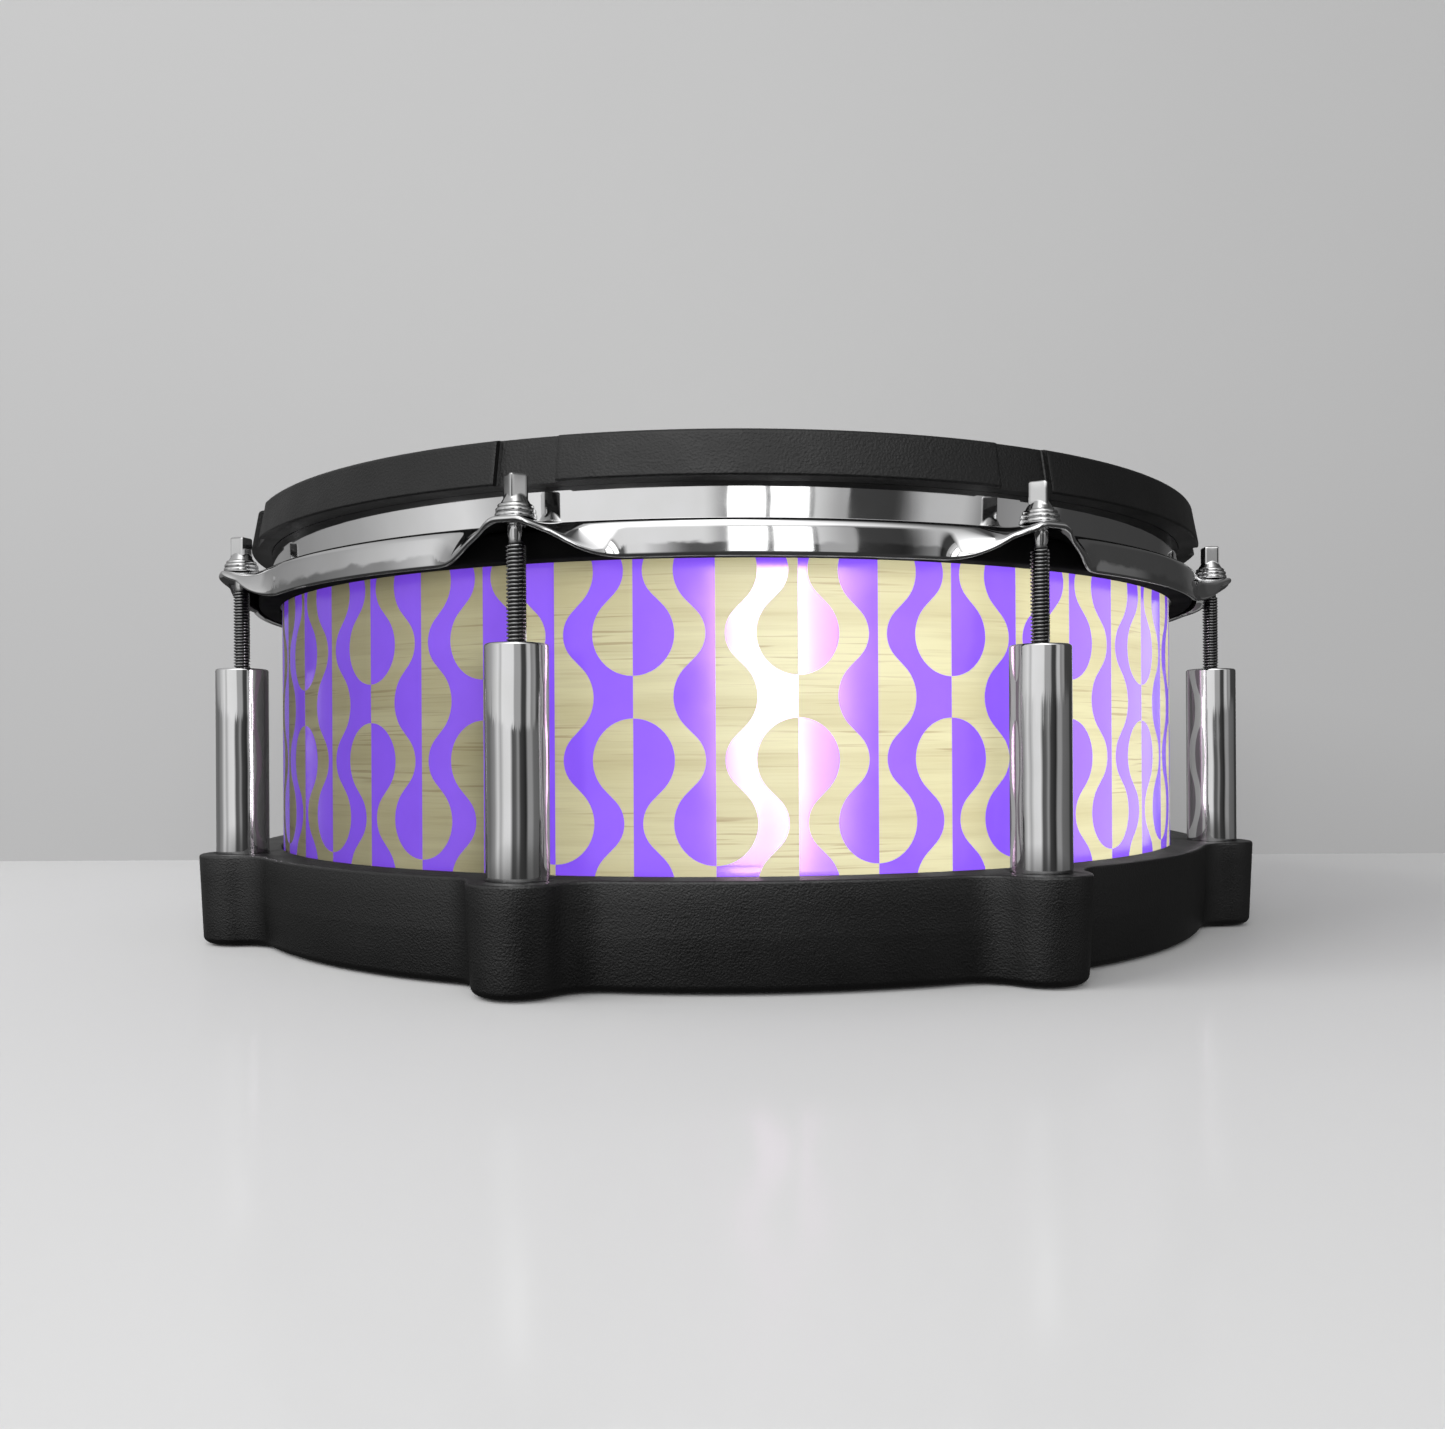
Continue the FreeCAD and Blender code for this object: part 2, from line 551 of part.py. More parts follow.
# ---- trigger electronics --------------------------------------------------------------------
def bridge_screw_ends():
    """Turn and sideways place of each screw that holds the bridge to the shell."""
    return [(turn, y) for turn in (0, 180) for y in (-BRIDGE_SCREW_Y, BRIDGE_SCREW_Y)]


def bridge_cylinder(r, y, inside, length):
    """Cylinder along +X at a bridge screw, from `inside` its tab's inner face, for a length."""
    start = vec(BRIDGE_HALF - inside, y, BRIDGE_Z + BRIDGE_SCREW_UP)
    return Part.makeCylinder(r, length, start, vec(1, 0, 0))


def sensor_bridge():
    bar = box(-BRIDGE_HALF, BRIDGE_HALF, -BRIDGE_HALF_WIDTH, BRIDGE_HALF_WIDTH, BRIDGE_Z, BRIDGE_Z + BRIDGE_T)
    tab = box(BRIDGE_HALF, BRIDGE_HALF + BRIDGE_T, -BRIDGE_HALF_WIDTH, BRIDGE_HALF_WIDTH,
              BRIDGE_Z, BRIDGE_Z + BRIDGE_TAB_H)
    bar = bar.fuse([tab, spin(tab, 180)])
    holes = [spin(bridge_cylinder(1.65, y, 4.0, 10.0), turn) for turn, y in bridge_screw_ends()]
    holes += [cylinder(2.1, BRIDGE_Z - 1, BRIDGE_Z + 5, polar(GROMMET_CIRCLE_R, a)) for a in GROMMET_ANGLES]
    slots = [box(x - 22, x + 22, -6, 6, BRIDGE_Z - 1, BRIDGE_Z + 5) for x in (-105, -55, 55, 105)]
    return bar.cut(Part.makeCompound(holes + slots))


def bridge_screws():
    screws = []
    for turn, y in bridge_screw_ends():
        head = bridge_cylinder(3.2, y, 1.8, 1.8)
        shaft = bridge_cylinder(1.55, y, 1.0, 6.8)
        screws.append(spin(head.fuse(shaft), turn))
    return Part.makeCompound(screws)


def bridge_grommets():
    top = BRIDGE_Z + BRIDGE_T
    one = tube(4.5, 2.0, top, PLATE_Z, vec(GROMMET_CIRCLE_R, 0, 0))
    return around(one, GROMMET_ANGLES)


def grommet_bolts():
    axis = vec(GROMMET_CIRCLE_R, 0, 0)
    top = PLATE_Z + PLATE_T
    bolt = cylinder(1.5, BRIDGE_Z - 4, top, axis)
    nut = cylinder(3.0, BRIDGE_Z - 2.2, BRIDGE_Z, axis)
    head = cylinder(2.6, top, top + 1.2, axis)
    return around(bolt.fuse([nut, head]), GROMMET_ANGLES)


def sensor_plate():
    plate = cylinder(PLATE_R, PLATE_Z, PLATE_Z + PLATE_T)
    holes = cylinder(1.6, PLATE_Z - 1, PLATE_Z + PLATE_T + 1, vec(GROMMET_CIRCLE_R, 0, 0))
    return plate.cut(around(holes, GROMMET_ANGLES))


def sensor_pad():
    low = PLATE_Z + PLATE_T
    pad = cylinder(20.0, low, low + SENSOR_PAD_T)
    return pad.cut(around(cylinder(3.6, low - 1, low + 4, vec(GROMMET_CIRCLE_R, 0, 0)), GROMMET_ANGLES))


def head_sensor():
    low = PLATE_Z + PLATE_T + SENSOR_PAD_T
    return cylinder(17.5, low, low + 0.3).fuse(cylinder(12.5, low + 0.3, low + 0.6))


def foam_cone():
    low = PLATE_Z + PLATE_T + SENSOR_PAD_T + 0.6
    return Part.makeCone(12.0, 4.0, BEARING_Z - 0.2 - low, vec(0, 0, low))


def rim_disc(r, length, gap_out, gap_in):
    """Round patch that follows the inside of the shell, between two distances from it."""
    patch = Part.makeCylinder(r, length, vec(60, 150, 100), vec(0.34, 0.94, 0))
    inner_r = SHELL_R - WRAP_T - SHELL_WALL
    return patch.common(tube(inner_r - gap_out, inner_r - gap_in, 80, 120))


def rim_sensor_pad():
    return rim_disc(10.0, 10.0, 0.05, 4.0)


def rim_sensor():
    return rim_disc(13.0, 20.0, 4.0, 4.5)


# ---- output jack ----------------------------------------------------------------------------
def jack_cylinder(r, y0, y1):
    return Part.makeCylinder(r, y1 - y0, vec(0, y0, JACK_Z), vec(0, 1, 0))


def jack_plate():
    plate = jack_cylinder(JACK_PLATE_R, 165, JACK_PLATE_Y)
    front = [e for e in plate.Edges if abs(e.CenterOfMass.y - JACK_PLATE_Y) < 1e-6]
    plate = plate.makeFillet(1.2, front)
    plate = plate.cut(cylinder(SHELL_R + 0.05, JACK_Z - 20, JACK_Z + 20))
    plate = plate.cut(jack_cylinder(JACK_BUSH_R + FIT, 160, 190))
    for x in (-JACK_SCREW_X, JACK_SCREW_X):
        plate = plate.cut(Part.makeCylinder(1.3, 40, vec(x, 160, JACK_Z), vec(0, 1, 0)))
    return plate


def jack_plate_screws():
    screws = []
    for x in (-JACK_SCREW_X, JACK_SCREW_X):
        head = Part.makeCylinder(2.3, 1.2, vec(x, JACK_PLATE_Y, JACK_Z), vec(0, 1, 0))
        shaft = Part.makeCylinder(1.25, 3.0, vec(x, JACK_PLATE_Y - 2.9, JACK_Z), vec(0, 1, 0))
        screws.append(head.fuse(shaft))
    return Part.makeCompound(screws)


def output_jack():
    body = jack_cylinder(JACK_BODY_R, JACK_TIP_Y - JACK_BORE_DEPTH - 3, JACK_BODY_END_Y)
    bush = jack_cylinder(JACK_BUSH_R, JACK_BODY_END_Y - 1, JACK_TIP_Y)
    terminals = [box(x - 0.4, x + 0.4, 147, 154, JACK_Z - 2, JACK_Z + 2) for x in (-5, 0, 5)]
    solid = body.fuse([bush] + terminals)
    return solid.cut(jack_cylinder(JACK_BORE_R, JACK_TIP_Y - JACK_BORE_DEPTH, JACK_TIP_Y + 1))


def jack_nut():
    corner_r = JACK_NUT_FLATS / math.sqrt(3)
    corners = [vec(corner_r * math.cos(math.radians(60 * i)), JACK_PLATE_Y,
                   JACK_Z + corner_r * math.sin(math.radians(60 * i))) for i in range(7)]
    nut = Part.Face(Part.makePolygon(corners)).extrude(vec(0, JACK_NUT_T, 0))
    return nut.cut(jack_cylinder(JACK_BUSH_R + 0.05, 170, 190))


# ---- leads inside the shell -----------------------------------------------------------------
def rounded_path(points):
    """Straight runs joined by tangent arcs, each as large as its two runs allow."""
    nodes = [vec(*p) for p in points]
    edges = []
    start = nodes[0]
    radii = []
    for before, here, after in zip(nodes, nodes[1:], nodes[2:]):
        into = here - before
        away = after - here
        shorter = min(into.Length, away.Length)
        turn = into.getAngle(away)
        cut = 0.45 * shorter
        radius = cut / math.tan(turn / 2)
        radii.append(round(radius, 1))
        into.normalize()
        away.normalize()
        first = here - into * cut
        second = here + away * cut
        inward = away - into
        inward.normalize()
        centre = here + inward * (radius / math.cos(turn / 2))
        middle = centre - inward * radius
        edges.append(Part.LineSegment(start, first).toShape())
        edges.append(Part.Arc(first, middle, second).toShape())
        start = second
    edges.append(Part.LineSegment(start, nodes[-1]).toShape())
    return Part.Wire(edges), radii


def lead(points):
    wire, radii = rounded_path(points)
    heading = vec(*points[1]) - vec(*points[0])
    circle = Part.Wire(Part.makeCircle(LEAD_R, vec(*points[0]), heading))
    pipe = wire.makePipeShell([circle], True, True)
    ideal = math.pi * LEAD_R ** 2 * wire.Length
    print("lead radii", radii, "length", round(wire.Length, 1), "volume ratio", round(pipe.Volume / ideal, 3))
    return pipe


# ---- all nodes ------------------------------------------------------------------------------
def all_nodes():
    nodes = {
        "base_frame": base_frame(), "bottom_cover": bottom_cover(), "cover_screws": cover_screws(),
        "foot_pads": foot_pads(), "lug_nuts": lug_nuts(), "lug_plugs": lug_plugs(),
        "lug_screws": lug_screws(), "shell": shell(), "printed_wrap": printed_wrap(),
        "head_hoop": head_hoop(), "mesh_head": mesh_head(), "hoop": hoop(), "hoop_cover": hoop_cover(),
        "lower_washers": washers(LOWER_WASHER_R, 0), "upper_washers": washers(UPPER_WASHER_R, 1),
        "sensor_bridge": sensor_bridge(), "bridge_screws": bridge_screws(),
        "bridge_grommets": bridge_grommets(), "grommet_bolts": grommet_bolts(),
        "sensor_plate": sensor_plate(), "sensor_pad": sensor_pad(), "head_sensor": head_sensor(),
        "foam_cone": foam_cone(), "rim_sensor_pad": rim_sensor_pad(), "rim_sensor": rim_sensor(),
        "jack_plate": jack_plate(), "jack_plate_screws": jack_plate_screws(), "output_jack": output_jack(),
        "jack_nut": jack_nut(), "head_sensor_lead": lead(HEAD_LEAD), "rim_sensor_lead": lead(RIM_LEAD),
    }
    tube_shape = lug_tube()
    rod_shape = tension_rod()
    for i, a in enumerate(lug_angles(), start=1):
        nodes[f"lug_tube_{i}"] = spin(tube_shape, a)
        nodes[f"tension_rod_{i}"] = spin(rod_shape, a)
    return nodes


os.makedirs("parts", exist_ok=True)
for name, shape in sorted(all_nodes().items()):
    bad = [s for s in shape.Solids if not s.isValid() or s.Volume <= 0]
    print(f"{name}: {len(shape.Solids)} solids, {shape.Volume / 1000:.2f} cm3" + (" INVALID" if bad else ""))
    shape.exportStep(f"parts/{name}.step")
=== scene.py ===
import json
import math

import bmesh
import bpy
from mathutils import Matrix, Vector

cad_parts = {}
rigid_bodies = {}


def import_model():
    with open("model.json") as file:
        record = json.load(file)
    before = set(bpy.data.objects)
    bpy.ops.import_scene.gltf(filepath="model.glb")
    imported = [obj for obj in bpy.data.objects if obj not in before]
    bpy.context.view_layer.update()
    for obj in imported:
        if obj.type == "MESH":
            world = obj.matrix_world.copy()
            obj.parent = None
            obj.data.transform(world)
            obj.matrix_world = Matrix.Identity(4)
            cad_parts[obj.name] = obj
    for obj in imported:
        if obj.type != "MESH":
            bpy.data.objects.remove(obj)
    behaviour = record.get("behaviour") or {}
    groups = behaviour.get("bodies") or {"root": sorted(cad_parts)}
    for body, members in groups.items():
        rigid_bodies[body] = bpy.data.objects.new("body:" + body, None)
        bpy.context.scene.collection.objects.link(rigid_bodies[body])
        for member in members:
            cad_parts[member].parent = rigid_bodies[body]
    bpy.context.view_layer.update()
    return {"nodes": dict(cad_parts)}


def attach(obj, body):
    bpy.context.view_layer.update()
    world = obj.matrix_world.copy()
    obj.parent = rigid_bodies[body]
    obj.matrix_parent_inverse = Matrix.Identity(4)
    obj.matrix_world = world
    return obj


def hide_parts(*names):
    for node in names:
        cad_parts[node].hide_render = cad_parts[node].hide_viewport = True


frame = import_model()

# An electronic snare drum.  Sizes are in millimetres and angles in degrees; meshes are made in metres.
# The front of the drum faces -Y.  Lug 1 is 22.5 degrees from +X, and they are numbered counter-clockwise.

scene = bpy.context.scene
MM = 0.001

# ---- sizes ----------------------------------------------------------------------------------
LUG_COUNT = 8
FIRST_LUG = 22.5
LUG_STEP = 360 / LUG_COUNT
LUG_CIRCLE_R = 192.8

SHELL_R = 177.8
WRAP_T = 0.5
WRAP_BOTTOM_Z = 14.0
WRAP_TOP_Z = 130.6

BASE_TOP_Z = 31.5
BASE_CREASE_Z = 16.0
BASE_BOTTOM_Z = 0.8
BASE_R = 190.0
BASE_FOOT_R = 188.7
BASE_WALL = 3.0
BASE_SOCKET_R = 178.2
BASE_LEDGE_R = 164.0
BASE_LEDGE_Z = 10.0
BASE_UNDERCUT_R = 178.0
BASE_UNDERCUT_Z = 7.0
LOBE_TOP_R = 14.3
LOBE_FOOT_R = 12.9
LOBE_BLEND_R = 14.0
SOCKET_DEPTH = 5.0
PANEL_TOP_Z = 3.7

TUBE_R = 8.76
TUBE_BORE_R = 7.2
TUBE_HOLE_R = 3.4
TUBE_TOP_Z = 96.2
TUBE_CAP_T = 2.5

SHEET_T = 1.8
HOOP_WALL_R = 180.3           # middle of the sheet, where it stands upright
HOOP_STEP_Z = 130.3
HOOP_TOP_Z = 150.0
EAR_HOLE_R = 3.0

COVER_BOTTOM_Z = 141.2
COVER_TOP_Z = 154.8
COVER_FOOT_R = 188.4
COVER_SHOULDER_R = 186.4
COVER_IN_R = 175.5
COVER_LIP_Z = 145.5
COVER_ROUND = 2.6
COVER_GAP = 0.15              # between the cover and the hoop that it clips over
NOTCH_DEPTH = 2.2
NOTCH_HALF = 9.5

HEAD_Z = 142.1
MESH_T = 0.6
HEAD_ROLL_R = 4.0
COLLAR_R = 178.6
HEAD_HOOP_OUT_R = 186.0
HEAD_HOOP_BOTTOM_Z = 120.3
HEAD_HOOP_TOP_Z = 128.4

WASHER_T = 1.4
LOWER_WASHER_R = 5.85
UPPER_WASHER_R = 5.6
WASHER_HOLE_R = 2.75
ROD_SEAT_Z = HOOP_STEP_Z + 2 * WASHER_T + 0.05
ROD_TOP_Z = 142.6
ROD_R = 2.745
ROD_PITCH = 25.4 / 24
THREAD_DEPTH = 0.61 * ROD_PITCH
SHANK_R = 2.35
ROD_FLANGE_R = 5.0
ROD_KEY_SIDE = 5.4
ROD_KEY_ROUND = 0.55
KEY_TURNS = (12, 71, 38, 55, 24, 62, 33, 8)   # how far each rod's square key is turned
ROD_THREAD_TOP_Z = 123.5
ROD_THREAD_LOW_Z = 84.0       # the thread below this height is hidden in the lug tube
ROD_END_Z = 70.0

JACK_Z = 62.0
JACK_PLATE_Y = 181.9
JACK_TIP_Y = 188.0
JACK_BACK_Y = 176.0
JACK_BORE_R = 3.2
JACK_BORE_DEPTH = 32.0
JACK_BODY_R = 8.5
JACK_BUSH_R = 4.7
JACK_THREAD_PITCH = 0.8
JACK_NUT_FLATS = 12.7
JACK_NUT_T = 2.8

PAD_R = 8.0
PAD_TOP_Z = 1.2


# ---- mesh helpers ---------------------------------------------------------------------------
def polar(r, degrees, z=0.0):
    a = math.radians(degrees)
    return (r * math.cos(a), r * math.sin(a), z)


def lug_angles():
    return [FIRST_LUG + LUG_STEP * i for i in range(LUG_COUNT)]


def smoothstep(t):
    t = min(1.0, max(0.0, t))
    return t * t * (3 - 2 * t)


def new_object(name, points, faces, materials, slots=None, sharp=38):
    """A mesh object from points in millimetres: welded, facing outwards, with crisp edges past `sharp`."""
    mesh = bpy.data.meshes.new(name)
    mesh.from_pydata([(x * MM, y * MM, z * MM) for x, y, z in points], [], faces)
    for material in materials:
        mesh.materials.append(material)
    if slots:
        mesh.polygons.foreach_set("material_index", slots)
    work = bmesh.new()
    work.from_mesh(mesh)
    bmesh.ops.remove_doubles(work, verts=work.verts, dist=1e-7)
    bmesh.ops.dissolve_degenerate(work, edges=work.edges, dist=1e-8)
    bmesh.ops.recalc_face_normals(work, faces=work.faces)
    work.to_mesh(mesh)
    work.free()
    mesh.shade_smooth()
    mesh.set_sharp_from_angle(angle=math.radians(sharp))
    obj = bpy.data.objects.new(name, mesh)
    scene.collection.objects.link(obj)
    return obj


def grid_faces(rows, cols, wrap_rows=False, start=0):
    """Quads of a grid of points stored row by row; every row closes on itself."""
    faces = []
    for i in range(rows if wrap_rows else rows - 1):
        low = start + i * cols
        high = start + (i + 1) % rows * cols
        for j in range(cols):
            k = (j + 1) % cols
            faces.append((low + j, low + k, high + k, high + j))
    return faces


def round_corners(corners, steps=4):
    """Closed outline of (r, z, radius) corners, each rounded by an arc of its radius."""
    outline = []
    for i, (x, z, radius) in enumerate(corners):
        here = Vector((x, z, 0))
        back = Vector((*corners[i - 1][:2], 0)) - here
        ahead = Vector((*corners[(i + 1) % len(corners)][:2], 0)) - here
        turn = back.angle(ahead)
        if radius <= 0 or turn > 3.1:
            outline.append((x, z))
            continue
        reach = min(radius / math.tan(turn / 2), 0.49 * back.length, 0.49 * ahead.length)
        radius = reach * math.tan(turn / 2)
        centre = here + (back.normalized() + ahead.normalized()).normalized() * (radius / math.sin(turn / 2))
        first = (here + back.normalized() * reach - centre).normalized()
        last = (here + ahead.normalized() * reach - centre).normalized()
        for k in range(steps + 1):
            p = centre + first.slerp(last, k / steps) * radius
            outline.append((p.x, p.y))
    return outline


def ring_of_rows(name, rows, material, sharp):
    """Closed skin over rows of points: each row closes on itself, and the last row meets the first."""
    points = [p for row in rows for p in row]
    faces = grid_faces(len(rows), len(rows[0]), wrap_rows=True)
    return new_object(name, points, faces, [material], sharp=sharp)


def lathe_mesh(outline, segments, centre=(0.0, 0.0), start=0):
    """Points and faces of a closed (r, z) outline turned round a vertical axis."""
    points = []
    for r, z in outline:
        for j in range(segments):
            x, y, _ = polar(r, 360 * j / segments)
            points.append((centre[0] + x, centre[1] + y, z))
    return points, grid_faces(len(outline), segments, wrap_rows=True, start=start)


def lathe(name, outline, segments, material, centre=(0.0, 0.0), sharp=38):
    points, faces = lathe_mesh(outline, segments, centre)
    return new_object(name, points, faces, [material], sharp=sharp)


def lathe_group(name, outline, segments, centres, material, sharp=38):
    """The same turned shape at several places, in one object."""
    points, faces = [], []
    for centre in centres:
        more_points, more_faces = lathe_mesh(outline, segments, centre, len(points))
        points += more_points
        faces += more_faces
    return new_object(name, points, faces, [material], sharp=sharp)


def place(obj, body, slot, *nodes):
    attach(obj, body)
    if nodes:
        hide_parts(*nodes)
    return obj


# ---- node helpers ---------------------------------------------------------------------------
def grey(tone):
    return (tone, tone, tone, 1)


class Nodes:
    """Short calls for building a node tree."""

    def __init__(self, tree):
        self.tree = tree

    def add(self, kind, **settings):
        node = self.tree.nodes.new(kind)
        for key, value in settings.items():
            setattr(node, key, value)
        return node

    def link(self, a, b):
        self.tree.links.new(a, b)

    def feed(self, socket, value):
        """Links another node's output to a socket, or sets a plain value on it."""
        if hasattr(value, "links"):
            self.link(value, socket)
        else:
            socket.default_value = value

    def math(self, operation, *values):
        node = self.add("ShaderNodeMath", operation=operation)
        for socket, value in zip(node.inputs, values):
            self.feed(socket, value)
        return node.outputs[0]

    def mix(self, factor, a, b):
        node = self.add("ShaderNodeMix", data_type="RGBA")
        for index, value in ((0, factor), (6, a), (7, b)):
            self.feed(node.inputs[index], value)
        return node.outputs[2]

    def share_between(self, value, low, high):
        """0 where a value is `low`, 1 where it is `high`, and even steps between."""
        node = self.add("ShaderNodeMapRange")
        for index, number in enumerate((value, low, high)):
            self.feed(node.inputs[index], number)
        return node.outputs[0]

    def ramp(self, value, stops):
        node = self.add("ShaderNodeValToRGB")
        ramp = node.color_ramp
        while len(ramp.elements) < len(stops):
            ramp.elements.new(0.5)
        for element, (position, color) in zip(ramp.elements, stops):
            element.position = position
            if not hasattr(color, "__len__"):
                color = grey(color)
            element.color = (*color[:3], 1.0)
        self.link(value, node.inputs["Fac"])
        return node.outputs["Color"]


class MaterialNodes(Nodes):
    """A new material's nodes round its Principled shader."""

    SOCKETS = {"metal": "Metallic", "coat": "Coat Weight", "coat_rough": "Coat Roughness",
               "sheen": "Sheen Weight", "spec": "Specular IOR Level", "spec_tint": "Specular Tint"}

    def __init__(self, name):
        self.material = bpy.data.materials.new(name)
        self.material.use_nodes = True
        super().__init__(self.material.node_tree)
        self.shader = self.tree.nodes["Principled BSDF"]
        self.place = self.add("ShaderNodeTexCoord").outputs["Object"]

    def set(self, **values):
        for key, value in values.items():
            self.shader.inputs[self.SOCKETS[key]].default_value = value
        return self

    def to(self, name, value):
        self.link(value, self.shader.inputs[name])

    def stretched(self, scale):
        mapping = self.add("ShaderNodeMapping")
        mapping.inputs["Scale"].default_value = scale
        self.link(self.place, mapping.inputs["Vector"])
        return mapping.outputs["Vector"]

    def noise(self, scale, detail=3.0, stretch=None):
        node = self.add("ShaderNodeTexNoise")
        node.inputs["Scale"].default_value = scale
        node.inputs["Detail"].default_value = detail
        self.link(self.stretched(stretch) if stretch else self.place, node.inputs["Vector"])
        return node.outputs["Fac"]

    def bump(self, height, strength, distance, below=None):
        node = self.add("ShaderNodeBump")
        node.inputs["Strength"].default_value = strength
        node.inputs["Distance"].default_value = distance
        self.link(height, node.inputs["Height"])
        if below is not None:
            self.link(below, node.inputs["Normal"])
        return node.outputs["Normal"]


# ---- materials ------------------------------------------------------------------------------
def moulded_black(name, tone, grain, depth, rough=(0.40, 0.52), spec=0.3):
    """Black moulded plastic or rubber with a fine leather-like grain and faint handling marks."""
    n = MaterialNodes(name).set(spec=spec)
    n.to("Base Color", n.ramp(n.noise(28, 4), [(0.3, tone * 0.8), (0.7, tone * 1.25)]))
    n.to("Roughness", n.ramp(n.noise(55, 5), [(0.3, rough[0]), (0.7, rough[1])]))
    cells = n.add("ShaderNodeTexVoronoi", feature="SMOOTH_F1")
    cells.inputs["Scale"].default_value = grain
    n.link(n.place, cells.inputs["Vector"])
    fine = n.bump(n.noise(grain * 2.2, 3), 0.35, depth)
    n.to("Normal", n.bump(cells.outputs["Distance"], 0.6, depth, below=fine))
    return n.material


def chrome(name, tone, rough=(0.035, 0.085), wave=None, wave_depth=0.0):
    """Bright plating: nearly even, with faint haze, hairline scratches and the metal's own unevenness."""
    n = MaterialNodes(name).set(metal=1.0)
    n.to("Base Color", n.ramp(n.noise(90, 2), [(0.3, (tone * 0.96,) * 3), (0.7, (tone, tone, tone * 1.01))]))
    n.to("Roughness", n.ramp(n.noise(140, 6), [(0.35, rough[0]), (0.75, rough[1])]))
    hairlines = n.bump(n.noise(700, 2, stretch=(1.0, 1.0, 0.08)), 0.05, 0.00002)
    n.to("Normal", n.bump(n.noise(wave, 1), 0.5, wave_depth, below=hairlines) if wave else hairlines)
    return n.material


def threaded_chrome(name, tone, groove_shade_tone):
    """Plating with painted shade down in the grooves of its thread; each rod's mesh says how deep a point
    lies.
    """
    n = MaterialNodes(name).set(metal=1.0)
    groove = n.add("ShaderNodeAttribute", attribute_name="groove").outputs["Fac"]
    haze = n.noise(140, 6)
    bright = n.ramp(haze, [(0.3, tone * 0.95), (0.7, tone)])
    # painted shade: the plating's colour darkens towards the root of the thread
    n.to("Base Color", n.mix(groove, bright, grey(groove_shade_tone)))
    rough = n.ramp(haze, [(0.35, 0.07), (0.75, 0.14)])
    n.to("Roughness", n.math("ADD", rough, n.math("MULTIPLY", groove, 0.35)))
    n.to("Normal", n.bump(n.noise(700, 2, stretch=(1.0, 1.0, 0.08)), 0.05, 0.00002))
    return n.material


def plated_steel(name, tone, rough):
    n = MaterialNodes(name).set(metal=1.0)
    n.to("Base Color", n.ramp(n.noise(300, 3), [(0.3, tone * 0.85), (0.7, tone)]))
    n.to("Roughness", n.ramp(n.noise(420, 4), [(0.3, rough), (0.7, rough + 0.15)]))
    n.to("Normal", n.bump(n.noise(1600, 2), 0.15, 0.00003))
    return n.material


def painted_black(name):
    n = MaterialNodes(name).set(spec=0.12)
    n.to("Base Color", n.ramp(n.noise(40, 3), [(0.3, 0.006), (0.7, 0.012)]))
    n.to("Roughness", n.ramp(n.noise(70, 4), [(0.3, 0.62), (0.7, 0.76)]))
    n.to("Normal", n.bump(n.noise(420, 3), 0.2, 0.00005))
    return n.material


def around_axis(n):
    """Angle round the drum as a 0..1 value, and height in metres."""
    axes = n.add("ShaderNodeSeparateXYZ")
    n.link(n.place, axes.inputs[0])
    angle = n.math("ARCTAN2", axes.outputs["X"], n.math("MULTIPLY", axes.outputs["Y"], -1.0))
    return n.math("MULTIPLY", angle, 1 / math.tau), axes.outputs["Z"]


def wrapped_coordinates(n, along, across):
    """Texture place that runs round the shell: `along` and `across` scale its length and height."""
    turn, height = around_axis(n)
    both = n.add("ShaderNodeCombineXYZ")
    n.link(n.math("MULTIPLY", turn, math.tau * SHELL_R * MM * along), both.inputs["X"])
    n.link(n.math("MULTIPLY", height, across), both.inputs["Y"])
    return both.outputs[0]


def plain_in_plating(n, color, tone):
    """The print's colour, and a plain tone of like lightness for the plated parts that mirror it."""
    path = n.add("ShaderNodeLightPath")
    bounced = n.math("MAXIMUM", path.outputs["Is Glossy Ray"], path.outputs["Is Diffuse Ray"])
    return n.mix(bounced, color, grey(tone))


def printed_wood():
    """Pale veneer: level grain round the shell, in soft bands with fine fibres and short dark streaks."""
    n = MaterialNodes("wrap_wood").set(spec=0.3)
    layers = []
    for along, across, detail in ((12, 330, 4), (45, 1700, 2), (5, 60, 3), (26, 1150, 2), (9, 40, 1)):
        noise = n.add("ShaderNodeTexNoise")
        noise.inputs["Scale"].default_value = 1.0
        noise.inputs["Detail"].default_value = detail
        noise.inputs["Distortion"].default_value = 0.25
        n.link(wrapped_coordinates(n, along, across), noise.inputs["Vector"])
        layers.append(noise.outputs["Fac"])
    soft, fibres, bands, streaks, clusters = layers
    light, middle = (0.66, 0.62, 0.38, 1), (0.57, 0.52, 0.30, 1)
    dark, brown = (0.38, 0.31, 0.16, 1), (0.28, 0.17, 0.08, 1)
    color = n.mix(n.ramp(bands, [(0.40, 0.0), (0.60, 1.0)]), light, middle)
    color = n.mix(n.ramp(soft, [(0.50, 0.0), (0.74, 0.30)]), color, dark)
    color = n.mix(n.ramp(fibres, [(0.50, 0.0), (0.75, 0.16)]), color, dark)
    where = n.math("MULTIPLY", n.ramp(streaks, [(0.58, 0.0), (0.66, 0.5)]),
                   n.ramp(clusters, [(0.42, 0.0), (0.58, 1.0)]))
    color = n.mix(where, color, brown)
    n.to("Base Color", plain_in_plating(n, color, 0.26))
    n.to("Roughness", n.ramp(soft, [(0.3, 0.45), (0.7, 0.55)]))
    n.to("Normal", n.bump(fibres, 0.12, 0.00006))
    return n.material


